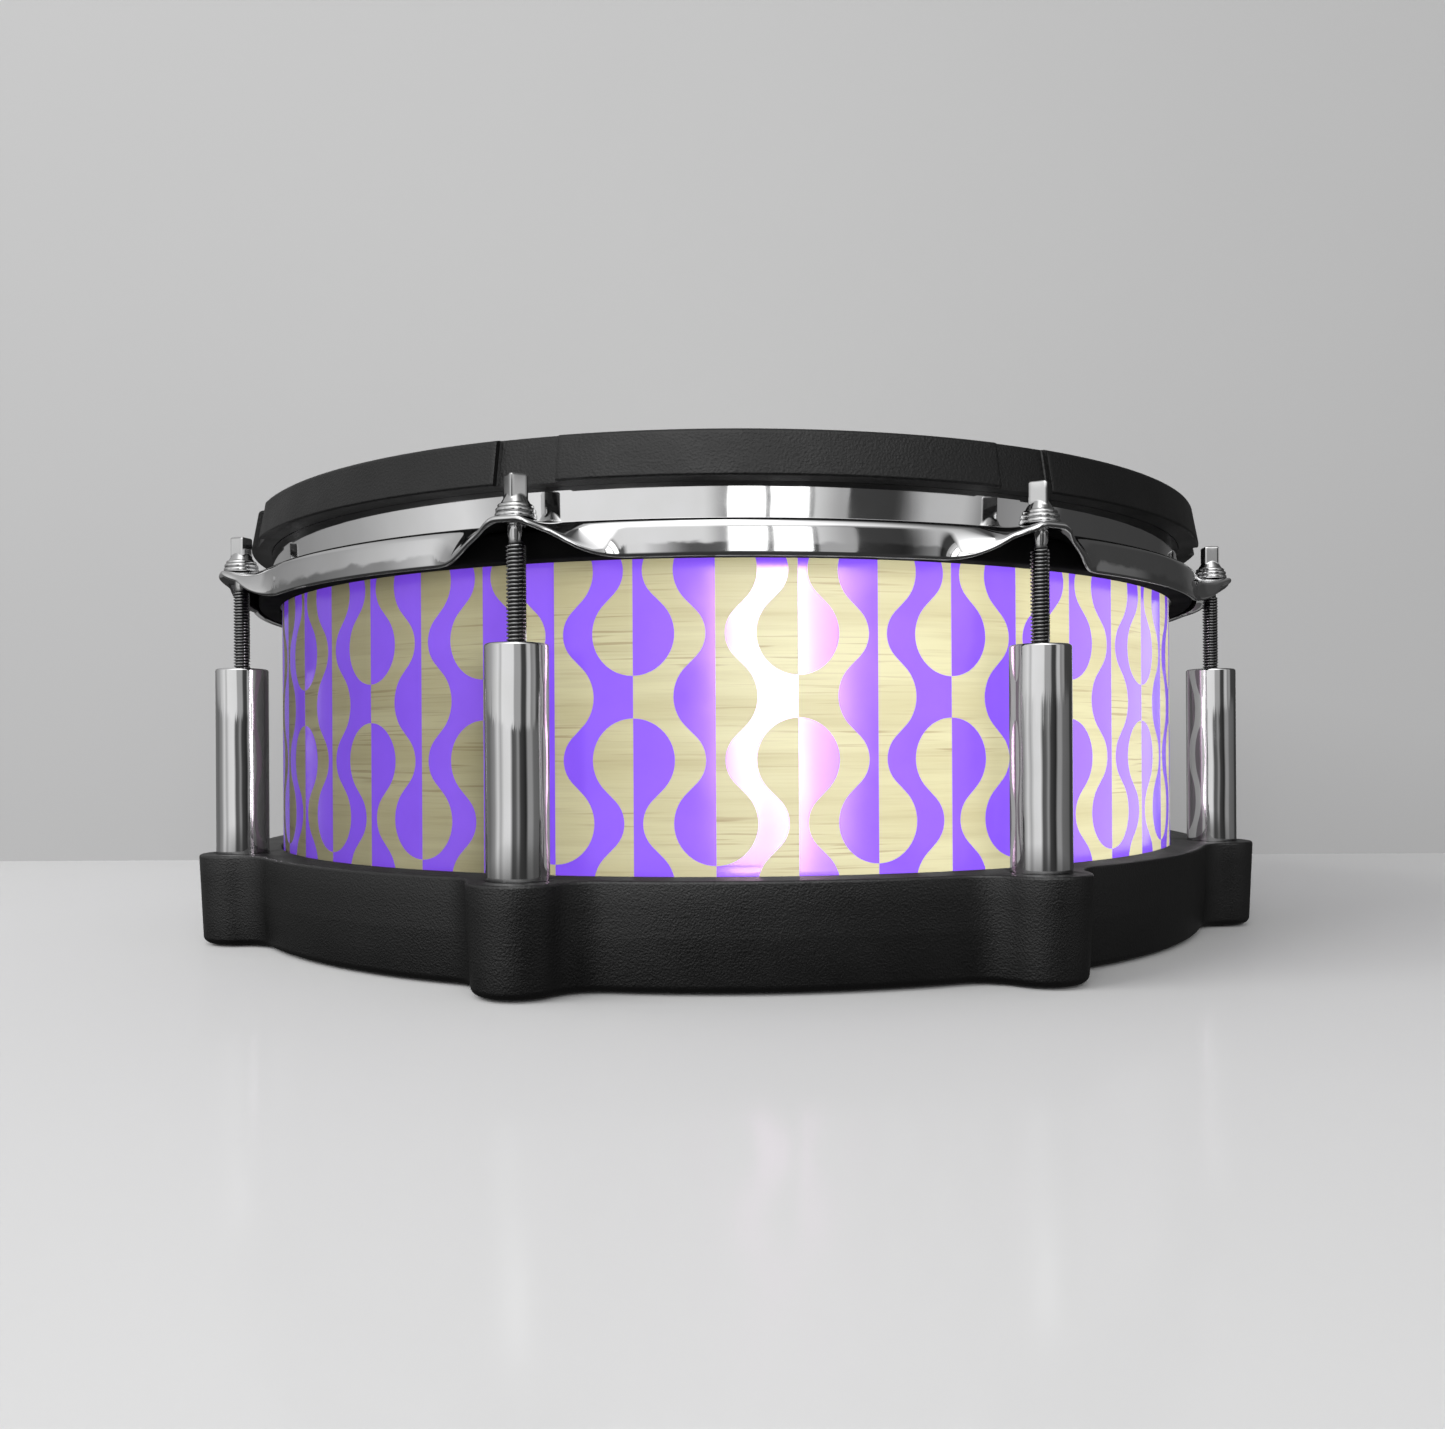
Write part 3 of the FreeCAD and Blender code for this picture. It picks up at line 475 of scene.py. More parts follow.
def printed_violet():
    """Bright violet ink, even but for a trace of mottle, under a clear glossy film.  It glows a little with
    painted light: an emission that stands in for light falling on it.
    """
    n = MaterialNodes("wrap_violet")
    n.set(spec=1.0, coat=0.35, coat_rough=0.16, spec_tint=(1.0, 0.55, 0.94, 1.0))
    mottle = n.noise(60, 4)
    ink = n.ramp(mottle, [(0.3, (0.155, 0.070, 0.60)), (0.7, (0.170, 0.078, 0.64))])
    painted_glow = n.ramp(mottle, [(0.3, (0.100, 0.030, 0.41)), (0.7, (0.108, 0.034, 0.43))])
    n.to("Base Color", plain_in_plating(n, ink, 0.06))
    # painted glow: the ink emits light though it is no lamp; reflections and bounces get a plain dim glow
    # instead
    n.to("Emission Color", plain_in_plating(n, painted_glow, 0.03))
    n.shader.inputs["Emission Strength"].default_value = 1.0
    n.to("Roughness", n.ramp(n.noise(90, 3), [(0.3, 0.20), (0.7, 0.27)]))
    n.to("Normal", n.bump(n.noise(18, 2), 0.06, 0.0004))
    return n.material


def bare_wood(name, light, dark):
    n = MaterialNodes(name).set(spec=0.3)
    grain = n.noise(60, 5, stretch=(1.0, 1.0, 9.0))
    n.to("Base Color", n.ramp(grain, [(0.3, light), (0.7, dark)]))
    n.to("Roughness", n.ramp(grain, [(0.3, 0.45), (0.7, 0.6)]))
    n.to("Normal", n.bump(grain, 0.2, 0.0001))
    return n.material


def woven_mesh():
    """White drum mesh: two plies of fine square weave, with dark pores between the threads."""
    n = MaterialNodes("head_mesh_weave").set(spec=0.25, sheen=0.3)
    weave = 620.0
    axes = n.add("ShaderNodeSeparateXYZ")
    n.link(n.place, axes.inputs[0])
    waves = []
    for axis in ("X", "Y"):
        sine = n.math("SINE", n.math("MULTIPLY", axes.outputs[axis], weave * math.tau))
        waves.append(n.math("ABSOLUTE", sine))
    threads = n.math("MAXIMUM", *waves)
    pores = n.ramp(threads, [(0.25, 0.0), (0.62, 1.0)])
    wear = n.ramp(n.noise(9, 4), [(0.3, (0.68, 0.68, 0.67)), (0.7, (0.76, 0.76, 0.75))])
    n.to("Base Color", n.mix(pores, (0.42, 0.42, 0.43, 1), wear))
    n.to("Roughness", n.ramp(n.noise(30, 3), [(0.3, 0.6), (0.7, 0.75)]))
    n.to("Normal", n.bump(threads, 0.4, 0.0002))
    return n.material


def soft_foam(name, tone):
    n = MaterialNodes(name).set(spec=0.2)
    pores = n.add("ShaderNodeTexVoronoi")
    pores.inputs["Scale"].default_value = 900
    n.link(n.place, pores.inputs["Vector"])
    n.to("Base Color", n.ramp(pores.outputs["Distance"], [(0.1, tone * 0.5), (0.6, tone * 1.3)]))
    n.to("Roughness", n.ramp(n.noise(200), [(0.3, 0.85), (0.7, 0.95)]))
    n.to("Normal", n.bump(pores.outputs["Distance"], 0.6, 0.0005))
    return n.material


BASE_BLACK = moulded_black("base_black", 0.0045, 1900, 0.00018, (0.36, 0.48), spec=0.9)
COVER_BLACK = moulded_black("cover_black", 0.0065, 1500, 0.0002, (0.42, 0.55), spec=0.65)
PANEL_BLACK = moulded_black("panel_black", 0.010, 900, 0.0003)
FOOT_BLACK = moulded_black("foot_black", 0.008, 700, 0.0003, (0.6, 0.75))
CHROME = chrome("chrome_hoop", tone=0.80, wave=60, wave_depth=0.00012)
TUBE_CHROME = chrome("chrome_tube", tone=0.80, wave=36, wave_depth=0.0016)
# the rods' second tone is the painted shade at the root of the thread
ROD_CHROME = threaded_chrome("chrome_rod", 0.66, 0.05)
ZINC = plated_steel("zinc_steel", 0.62, 0.28)
BRIDGE_STEEL = plated_steel("bridge_steel", 0.5, 0.38)
BRASS = plated_steel("sensor_brass", 0.6, 0.3)
HEAD_HOOP_BLACK = painted_black("head_hoop_black")
WASHER_STEEL = chrome("washer_steel", tone=0.70, rough=(0.12, 0.22))
VIOLET = printed_violet()
WOOD = printed_wood()
SHELL_WOOD = bare_wood("shell_wood", (0.55, 0.42, 0.25), (0.42, 0.29, 0.15))
MESH = woven_mesh()
FOAM = soft_foam("black_foam", 0.05)
LEAD_BLACK = moulded_black("lead_black", 0.02, 2500, 0.00005)


# ---- base -----------------------------------------------------------------------------------
def lobed_outline(ring_r, lobe_r, blend_r, z):
    """Circle with a round lobe at every lug, joined by hollow blends."""
    far = ring_r + blend_r
    near = lobe_r + blend_r
    half = math.acos((far ** 2 + LUG_CIRCLE_R ** 2 - near ** 2) / (2 * far * LUG_CIRCLE_R))
    blend_x, blend_y = far * math.cos(half), far * math.sin(half)
    lobe_turn = math.atan2(blend_y, blend_x - LUG_CIRCLE_R)
    side = []
    for k in range(9):
        a = lobe_turn * k / 9
        side.append((LUG_CIRCLE_R + lobe_r * math.cos(a), lobe_r * math.sin(a)))
    for k in range(9):
        a = math.pi + lobe_turn + (half - lobe_turn) * k / 9
        side.append((blend_x + blend_r * math.cos(a), blend_y + blend_r * math.sin(a)))
    ring_end = math.radians(LUG_STEP / 2)
    for k in range(14):
        a = half + (ring_end - half) * k / 14
        side.append((ring_r * math.cos(a), ring_r * math.sin(a)))
    mirrored = [(x, -y) for x, y in reversed(side[1:])]
    middle = [(ring_r * math.cos(ring_end), ring_r * math.sin(ring_end))]
    sector = mirrored + side + middle
    points = []
    for lug in lug_angles():
        c, s = math.cos(math.radians(lug)), math.sin(math.radians(lug))
        points += [(x * c - y * s, x * s + y * c, z) for x, y in sector]
    return points


def ring_like(outline, r, z):
    """Circle whose points lie at the same angles as an outline's."""
    return [polar(r, math.degrees(math.atan2(y, x)), z) for x, y, _ in outline]


def base_levels():
    """(z, inset) up the outside wall: rounded foot, leaning skirt, crease, upright band, eased top edge."""
    foot, top = 2.4, 0.9
    levels = [(BASE_BOTTOM_Z + foot * (1 - math.cos(a)), foot * (1 - math.sin(a)))
              for a in (math.radians(15 * k) for k in range(7))]
    levels += [(BASE_CREASE_Z - 5, 0), (BASE_CREASE_Z - 0.4, 0), (BASE_CREASE_Z + 0.4, 0), (24, 0)]
    levels += [(BASE_TOP_Z - top * (1 - math.sin(a)), top * (1 - math.cos(a)))
               for a in (math.radians(22.5 * k) for k in range(5))]
    return levels


def base_frame():
    lean = (BASE_R - BASE_FOOT_R) / (BASE_CREASE_Z - BASE_BOTTOM_Z)
    taper = (LOBE_TOP_R - LOBE_FOOT_R) / (BASE_TOP_Z - BASE_BOTTOM_Z)

    def wall(z, inset):
        ring_r = BASE_R - lean * max(0.0, BASE_CREASE_Z - z) - inset
        lobe_r = LOBE_TOP_R - taper * (BASE_TOP_Z - z) - inset
        return lobed_outline(ring_r, lobe_r, LOBE_BLEND_R + inset, z)

    rows = [wall(z, inset) for z, inset in base_levels()]
    top = rows[-1]
    inside = (
        (184.5, BASE_TOP_Z), (BASE_SOCKET_R + 0.6, BASE_TOP_Z), (BASE_SOCKET_R, BASE_TOP_Z - 0.6),
        (BASE_SOCKET_R, BASE_LEDGE_Z), (BASE_LEDGE_R, BASE_LEDGE_Z), (BASE_LEDGE_R, BASE_UNDERCUT_Z),
        (BASE_UNDERCUT_R, BASE_UNDERCUT_Z), (BASE_UNDERCUT_R, PANEL_TOP_Z))
    rows += [ring_like(top, r, z) for r, z in inside]
    for z in (PANEL_TOP_Z, BASE_BOTTOM_Z + 0.3):
        rows.append(lobed_outline(
            BASE_FOOT_R - BASE_WALL, LOBE_FOOT_R - BASE_WALL, LOBE_BLEND_R + BASE_WALL, z))
    obj = ring_of_rows("base_frame_moulding", rows, BASE_BLACK, sharp=32)
    cut_holes(obj, TUBE_R + 0.22, BASE_TOP_Z - SOCKET_DEPTH, BASE_TOP_Z + 3)
    return place(obj, "drum", "base_plastic", "base_frame")


def cut_holes(obj, r, low, high):
    """Drills a round hole at every lug through an object."""
    outline = [(r, low), (r, high), (0.0, high), (0.0, low)]
    centres = [polar(LUG_CIRCLE_R, a)[:2] for a in lug_angles()]
    cutter = lathe_group("cutter", outline, 48, centres, None)
    change = obj.modifiers.new("holes", "BOOLEAN")
    change.object = cutter
    change.operation = "DIFFERENCE"
    change.solver = "EXACT"
    bake_modifiers(obj)
    bpy.data.objects.remove(cutter)


def bake_modifiers(obj):
    graph = bpy.context.evaluated_depsgraph_get()
    mesh = bpy.data.meshes.new_from_object(obj.evaluated_get(graph))
    obj.modifiers.clear()
    obj.data = mesh


# ---- lugs -----------------------------------------------------------------------------------
def lug_tubes():
    foot = BASE_TOP_Z - SOCKET_DEPTH
    outline = round_corners([
        (TUBE_R, foot, 0.3), (TUBE_R, TUBE_TOP_Z, 0.75), (TUBE_HOLE_R, TUBE_TOP_Z, 0.35),
        (TUBE_HOLE_R, TUBE_TOP_Z - TUBE_CAP_T, 0), (TUBE_BORE_R, TUBE_TOP_Z - TUBE_CAP_T, 0),
        (TUBE_BORE_R, foot, 0)], 5)
    for i, a in enumerate(lug_angles(), start=1):
        tube = lathe(f"lug_tube_{i}_plated", outline, 96, TUBE_CHROME, polar(LUG_CIRCLE_R, a)[:2])
        place(tube, "drum", "chrome", f"lug_tube_{i}")


# ---- rods and washers -----------------------------------------------------------------------
def thread_rows(r_out, pitch, low, high, segments):
    """Rows of (r, z) per segment that follow a helical ridge, fading out at both ends."""
    shape = ((0.0, 1.0), (0.12, 1.0), (0.5, 0.0), (0.62, 0.0))
    turns = int((high - low) / pitch) - 1
    rows = []
    for turn in range(turns):
        for step, crest in shape:
            row = []
            for j in range(segments):
                z = low + (turn + step + j / segments) * pitch
                fade = smoothstep((z - low) / pitch) * smoothstep((high - z) / (1.6 * pitch))
                row.append((r_out - THREAD_DEPTH * (1 - crest * fade), z))
            rows.append(row)
    return rows


def square_r(angle, side, corner):
    """Distance from the axis to a square with rounded corners."""
    a = abs((angle + 45) % 90 - 45)
    flat = side / 2
    reach = flat - corner
    if math.tan(math.radians(a)) * flat <= reach:
        return flat / math.cos(math.radians(a))
    lean = math.radians(45 - a)
    middle = reach * math.sqrt(2)
    return middle * math.cos(lean) + math.sqrt(corner ** 2 - (middle * math.sin(lean)) ** 2)


def key_rows(segments, key_turn):
    """Rows of (r, z) per segment of the cone and the square key that grows out of it."""
    def square(inset, z):
        return [(square_r(360 * j / segments + key_turn, ROD_KEY_SIDE, ROD_KEY_ROUND) - inset, z)
                for j in range(segments)]

    cone_low, cone_high = ROD_SEAT_Z + 1.3, ROD_SEAT_Z + 4.6
    rows = []
    for k in range(15):
        t = k / 14
        cone_r = 4.2 - 2.0 * t
        rows.append([(max(cone_r, r), z) for r, z in square(0.0, cone_low + (cone_high - cone_low) * t)])
    for drop, inset in ((0.75, 0.0), (0.42, 0.08), (0.18, 0.28), (0.04, 0.6), (0.0, 1.1)):
        rows.append(square(inset, ROD_TOP_Z - drop))
    return rows


def rod_rows(segments, key_turn):
    """All rows of a tension rod from its lower end to the top of its square key."""
    def even(r, z):
        return [(r, z)] * segments

    root = ROD_R - THREAD_DEPTH
    rows = [even(0, ROD_END_Z), even(1.6, ROD_END_Z), even(root, ROD_END_Z + 0.5)]
    rows.append(even(root, ROD_THREAD_LOW_Z))
    rows += thread_rows(ROD_R, ROD_PITCH, ROD_THREAD_LOW_Z, ROD_THREAD_TOP_Z + ROD_PITCH, segments)
    rows += [even(root, ROD_THREAD_TOP_Z + 1.3), even(SHANK_R - 0.05, ROD_THREAD_TOP_Z + 1.9)]
    rows += [even(SHANK_R, 128), even(SHANK_R, ROD_SEAT_Z)]
    for inset, rise in ((0.25, 0.0), (0.0, 0.25), (0.0, 0.75), (0.2, 1.0), (0.65, 1.15)):
        rows.append(even(ROD_FLANGE_R - inset, ROD_SEAT_Z + rise))
    return rows + key_rows(segments, key_turn) + [even(0, ROD_TOP_Z)]


def mark_grooves(rod, x0, y0):
    """Writes on every point how deep it lies in the thread, from 0 on the crest to 1 at the root; the rods'
    material paints shade by it.
    """
    groove = rod.data.attributes.new("groove", "FLOAT", "POINT")
    for vertex in rod.data.vertices:
        x, y, z = vertex.co / MM
        depth = (ROD_R - math.hypot(x - x0, y - y0)) / THREAD_DEPTH
        threaded = ROD_END_Z + 1 < z < ROD_THREAD_TOP_Z + 0.8
        groove.data[vertex.index].value = min(1.0, depth) if threaded else 0.0


def tension_rods():
    segments = 48
    for i, (a, key_turn) in enumerate(zip(lug_angles(), KEY_TURNS), start=1):
        x0, y0, _ = polar(LUG_CIRCLE_R, a)
        rows = rod_rows(segments, key_turn)
        points = []
        for row in rows:
            for j, (r, z) in enumerate(row):
                x, y, _ = polar(r, 360 * j / segments)
                points.append((x0 + x, y0 + y, z))
        faces = grid_faces(len(rows), segments)
        rod = new_object(f"tension_rod_{i}_threaded", points, faces, [ROD_CHROME], sharp=40)
        mark_grooves(rod, x0, y0)
        place(rod, f"tension_rod_{i}", "chrome", f"tension_rod_{i}")


def washers(name, r, level, node, slot, material):
    low = HOOP_STEP_Z + level * WASHER_T
    outline = round_corners([(r, low, 0.55), (r, low + WASHER_T, 0.55), (WASHER_HOLE_R, low + WASHER_T, 0.2),
                             (WASHER_HOLE_R, low, 0.2)], 4)
    centres = [polar(LUG_CIRCLE_R, a)[:2] for a in lug_angles()]
    place(lathe_group(name, outline, 48, centres, material), "hoop", slot, node)


# ---- hoop and its cover ---------------------------------------------------------------------
def bend(start, end, length, steps):
    """Short runs along one even bend, as (heading, length): degrees from outwards, anticlockwise."""
    return [(start + (end - start) * (k + 0.5) / steps, length / steps) for k in range(steps)]


def sheet_runs(offset):
    """Runs down the sheet `offset` degrees from a rod: bead, upright wall, step, then skirt or level ear."""
    across = abs(math.radians(offset)) * LUG_CIRCLE_R
    fold = math.sin(math.pi / 2 * min(1.0, max(0.0, (across - 2.8) / 28.5)) ** 1.5)
    drop = math.sin(math.pi / 2 * fold)
    skirt_heading = 360 - 90 * fold + 4 * drop
    skirt = 7.4 + 3.4 * (1 - smoothstep((across - 4.0) / 7.5))
    wall = HOOP_TOP_Z - HOOP_STEP_Z - 2.6
    return ([(180, 1.3)] + bend(180, 270, 1.9, 5) + [(270, wall)] + bend(270, 360, 2.2, 5)
            + [(360, 1.9), (360, 2.0)] + bend(360, skirt_heading, 2.67, 7)
            + bend(skirt_heading, skirt_heading - 10 * drop, skirt, 8))


def sheet_path(offset):
    """Middle of the pressed sheet, `offset` degrees from a rod: (r, z) points and headings, bead first."""
    runs = sheet_runs(offset)
    r, z = HOOP_WALL_R + 2.5, HOOP_TOP_Z - SHEET_T / 2
    path = [(r, z)]
    for heading, length in runs:
        out, up, _ = polar(length, heading)
        r, z = r + out, z + up
        path.append((r, z))
    headings = [(h0 + h1) / 2 for (h0, _), (h1, _) in zip(runs, runs[1:])]
    return path, [runs[0][0]] + headings + [runs[-1][0]]


def sheet_section(offset):
    """Closed outline of the sheet: outer side, rounded lower edge, inner side back up, rounded bead edge."""
    path, headings = sheet_path(offset)

    def beside(index, swing):
        a = math.radians(headings[index] + swing)
        return (path[index][0] + SHEET_T / 2 * math.cos(a), path[index][1] + SHEET_T / 2 * math.sin(a))

    outer = [beside(k, 90) for k in range(len(path))]
    inner = [beside(k, -90) for k in range(len(path))]
    lower_edge = [beside(-1, swing) for swing in (60, 30, 0, -30, -60)]
    upper_edge = [beside(0, swing) for swing in (-120, -150, 180, 150, 120)]
    return outer + lower_edge + inner[::-1] + upper_edge


def both_sides(offsets):
    """Angles on both sides of a rod, from those between it and the middle of the way to the next."""
    return [-d for d in reversed(offsets[1:-1])] + offsets


def hoop():
    ear = [0.25 * k for k in range(39)]
    beside_ear = [9.9 + 0.4 * k for k in range(4)]
    far = [12.2 + 1.43 * k for k in range(8)]
    columns = [[polar(r, lug + offset, z) for r, z in sheet_section(offset)]
               for lug in lug_angles() for offset in both_sides(ear + beside_ear + far)]
    obj = ring_of_rows("hoop_pressed", columns, CHROME, sharp=50)
    cut_holes(obj, EAR_HOLE_R, HOOP_STEP_Z - 6, HOOP_STEP_Z + 4)
    return place(obj, "hoop", "chrome", "hoop")


def notch_limit(z, offset):
    """Largest radius the cover may have at a height: each rod's recess follows the cover's slope."""
    across = abs(math.radians(offset)) * COVER_FOOT_R
    cut = NOTCH_DEPTH * (1 - smoothstep((across - NOTCH_HALF + 0.05) / 0.2))
    slope = (COVER_FOOT_R - COVER_SHOULDER_R) / (COVER_TOP_Z - COVER_ROUND - COVER_BOTTOM_Z)
    return COVER_FOOT_R - slope * (z - COVER_BOTTOM_Z) - cut


def cover_outline():
    """The cover's section: it clips over the hoop's bead and reaches down inside the wall."""
    wall_out = HOOP_WALL_R + SHEET_T / 2 + COVER_GAP
    wall_in = HOOP_WALL_R - SHEET_T / 2 - COVER_GAP
    bead_out = HOOP_WALL_R + 3.4 + COVER_GAP
    bead_low = HOOP_TOP_Z - 2.1
    return round_corners([
        (wall_out, COVER_BOTTOM_Z, 0.0), (COVER_FOOT_R, COVER_BOTTOM_Z, 0.7),
        (COVER_SHOULDER_R, COVER_TOP_Z, COVER_ROUND), (COVER_IN_R, COVER_TOP_Z, 3.2),
        (COVER_IN_R, COVER_LIP_Z, 0.8), (wall_in, COVER_LIP_Z, 0.0), (wall_in, HOOP_TOP_Z + COVER_GAP, 0.0),
        (bead_out, HOOP_TOP_Z + COVER_GAP, 0.0), (bead_out, bead_low, 0.0), (wall_out, bead_low, 0.0)], 6)


def hoop_cover():
    """Rubber ring, with points close together at the walls of its notches."""
    notch = (0, 3, 6, 8.6, NOTCH_HALF - 0.35, NOTCH_HALF, NOTCH_HALF + 0.12, NOTCH_HALF + 0.45, 10.8)
    near = [math.degrees(across / COVER_FOOT_R) for across in notch]
    far = [4.5 + 1.5 * k for k in range(13)]
    columns = [[polar(min(r, notch_limit(z, offset)), lug + offset, z) for r, z in cover_outline()]
               for lug in lug_angles() for offset in both_sides(near + far)]
    obj = ring_of_rows("hoop_cover_rubber", columns, COVER_BLACK, sharp=28)
    return place(obj, "hoop", "cover_rubber", "hoop_cover")


# ---- head -----------------------------------------------------------------------------------
def head_hoop():
    inner = COLLAR_R + 0.05
    outline = round_corners([
        (inner, HEAD_HOOP_BOTTOM_Z, 0.5), (HEAD_HOOP_OUT_R, HEAD_HOOP_BOTTOM_Z, 1.4),
        (HEAD_HOOP_OUT_R, HEAD_HOOP_TOP_Z, 1.2), (inner, HEAD_HOOP_TOP_Z, 0.5)], 5)
    obj = lathe("head_hoop_painted", outline, 256, HEAD_HOOP_BLACK)
    return place(obj, "drum", "head_hoop_black", "head_hoop")


def mesh_head():
    """Stretched mesh: flat over the shell, rolled over its edge, then down into its hoop."""
    crown = COLLAR_R - MESH_T - HEAD_ROLL_R
    low = HEAD_Z - MESH_T - HEAD_ROLL_R
    edge = HEAD_HOOP_BOTTOM_Z + 1.5

    def side(extra):
        bend_r = HEAD_ROLL_R + extra
        line = [(crown * k / 12, HEAD_Z - MESH_T + extra) for k in range(13)]
        line += [(crown + bend_r * math.sin(a), low + bend_r * math.cos(a))
                 for a in (math.radians(15 * k) for k in range(1, 7))]
        return line + [(crown + bend_r, edge)]

    obj = lathe("mesh_head_woven", side(MESH_T) + side(0.0)[::-1], 192, MESH, sharp=60)
    place(obj, "drum", "head_mesh", "mesh_head")
    return obj


# ---- printed wrap ---------------------------------------------------------------------------
PERIOD = 15.0                 # one repeat round the shell
A_LINE = -13.65               # first A line, from -Y towards +X
B_SHIFT = 7.5
PITCH_Z = 17.79               # from a bulb's centre to the next neck's
A_GAP_Z = 81.8                # middle of the gap that splits every A chain
BULB_R = 11.8
NECK_HALF = 2.7


def chain_half_width(dz):
    """Half width of a chain, dz above or below the middle of one of its bulbs, up to the next neck."""
    diagonal = BULB_R / math.sqrt(2)
    hollow_r = (PITCH_Z + NECK_HALF - math.sqrt(2) * BULB_R) / (math.sqrt(2) - 1)
    dz = abs(dz)
    if dz <= diagonal:
        return math.sqrt(BULB_R ** 2 - dz ** 2)
    bottom = PITCH_Z - hollow_r / math.sqrt(2)
    if dz <= bottom:
        return diagonal - (dz - diagonal)
    return NECK_HALF + hollow_r - math.sqrt(max(0.0, hollow_r ** 2 - (PITCH_Z - dz) ** 2))


def end_half_width(dz):
    """Half width of a chain's last bulb on its closed side."""
    return math.sqrt(max(0.0, BULB_R ** 2 - dz ** 2))


def chain_width(z, gap_z):
    """Half width of a chain at height z; gaps lie six pitches apart, and bulbs face each gap."""
    t = (z - gap_z) % (6 * PITCH_Z)
    t = min(t, 6 * PITCH_Z - t)
    if t <= PITCH_Z:
        return end_half_width(PITCH_Z - t)
    from_bulb = (t - PITCH_Z) % (2 * PITCH_Z)
    return chain_half_width(min(from_bulb, 2 * PITCH_Z - from_bulb))


def wrap_levels():
    """Heights of the rows of points: even steps, and close ones where a bulb closes."""
    levels = {WRAP_BOTTOM_Z, WRAP_TOP_Z}
    step = PITCH_Z / 14
    base = A_GAP_Z - 6 * PITCH_Z
    levels.update(base + step * k for k in range(200))
    for gap in (A_GAP_Z, A_GAP_Z - 3 * PITCH_Z, A_GAP_Z + 3 * PITCH_Z):
        for a in (4, 8, 13, 19, 26, 34):
            reach = PITCH_Z - BULB_R * math.cos(math.radians(a))
            levels.update((gap - reach, gap + reach))
        levels.update((gap - PITCH_Z + BULB_R, gap + PITCH_Z - BULB_R))
    kept = []
    for z in sorted(levels):
        if WRAP_BOTTOM_Z <= z <= WRAP_TOP_Z and (not kept or z - kept[-1] > 0.02):
            kept.append(z)
    return kept


def wrap_row(z, parts):
    """Angles of one row's points, and for each step between them whether it is violet."""
    widest = math.degrees(1 / SHELL_R)
    half_a = chain_width(z, A_GAP_Z) * widest
    half_b = chain_width(z, A_GAP_Z - 3 * PITCH_Z) * widest
    angles, violet = [], []
    for repeat in range(round(360 / PERIOD)):
        a = A_LINE + PERIOD * repeat
        b = a + B_SHIFT
        marks = (a, a + half_a, b - half_b, b, b + half_b, a + PERIOD - half_a, a + PERIOD)
        for (start, end), ink in zip(zip(marks, marks[1:]), (True, False, True, False, True, False)):
            for k in range(parts):
                angles.append(start + (end - start) * k / parts)
                violet.append(ink)
    return angles, violet


def printed_wrap():
    """Thin sheet round the shell: printed outside, plain on its edges and inside."""
    levels = wrap_levels()
    rows = [wrap_row(z, 3) for z in levels]
    count = len(rows[0][0])
    points = [polar(SHELL_R, a - 90, z) for (angles, _), z in zip(rows, levels) for a in angles]
    faces = grid_faces(len(levels), count)
    inks = [0 if ink else 1 for ink in rows[0][1]] * (len(levels) - 1)
    outside_top = (len(levels) - 1) * count
    inside_top = len(points)
    inside_foot = inside_top + count
    for end in (-1, 0):
        points += [polar(SHELL_R - WRAP_T, a - 90, levels[end]) for a in rows[end][0]]
    for upper, lower in ((outside_top, inside_top), (inside_top, inside_foot), (inside_foot, 0)):
        for j in range(count):
            k = (j + 1) % count
            faces.append((upper + j, upper + k, lower + k, lower + j))
            inks.append(1)
    obj = new_object("printed_wrap_sheet", points, faces, [VIOLET, WOOD], inks, sharp=60)
    return place(obj, "drum", "printed_wrap", "printed_wrap")


# ---- underside and jack ---------------------------------------------------------------------
def foot_pads():
    """Round rubber pads under the lobes, each with a shallow ring groove."""
    outline = round_corners([
        (PAD_R, PAD_TOP_Z, 0), (PAD_R, 0.0, 0.5), (6.2, 0.0, 0.15), (5.9, 0.35, 0.1), (5.2, 0.35, 0.1),
        (4.9, 0.0, 0.15), (0.0, 0.0, 0), (0.0, PAD_TOP_Z, 0)], 3)
    centres = [polar(LUG_CIRCLE_R - 1.5, a)[:2] for a in lug_angles()]
    pads = lathe_group("foot_pads_moulded", outline, 48, centres, FOOT_BLACK)
    place(pads, "drum", "foot_rubber", "foot_pads")


def turned_along_y(name, rows, material):
    """Closed shape from rows of (r, y) per segment round the jack's axis, which points along +Y."""
    segments = len(rows[0])
    points = []
    for row in rows:
        for j, (r, y) in enumerate(row):
            x, z, _ = polar(r, 360 * j / segments)
            points.append((x, y, JACK_Z + z))
    return new_object(name, points, grid_faces(len(rows), segments, wrap_rows=True), [material])


def even_rows(profile, segments):
    return [[(r, y)] * segments for r, y in profile]


def jack_bush():
    segments = 48
    root = JACK_BUSH_R - 0.5
    bore_end = JACK_TIP_Y - JACK_BORE_DEPTH
    rows = even_rows([(root, JACK_BACK_Y)], segments)
    rows += thread_rows(JACK_BUSH_R, JACK_THREAD_PITCH, JACK_BACK_Y + 1, JACK_TIP_Y - 0.3, segments)
    rows += even_rows([
        (root, JACK_TIP_Y - 0.35), (root - 0.3, JACK_TIP_Y), (JACK_BORE_R + 0.35, JACK_TIP_Y),
        (JACK_BORE_R, JACK_TIP_Y - 0.35), (JACK_BORE_R, bore_end), (0, bore_end), (0, bore_end - 3),
        (JACK_BODY_R, bore_end - 3), (JACK_BODY_R, JACK_BACK_Y)], segments)
    place(turned_along_y("output_jack_bush", rows, ZINC), "drum", "jack_plastic", "output_jack")


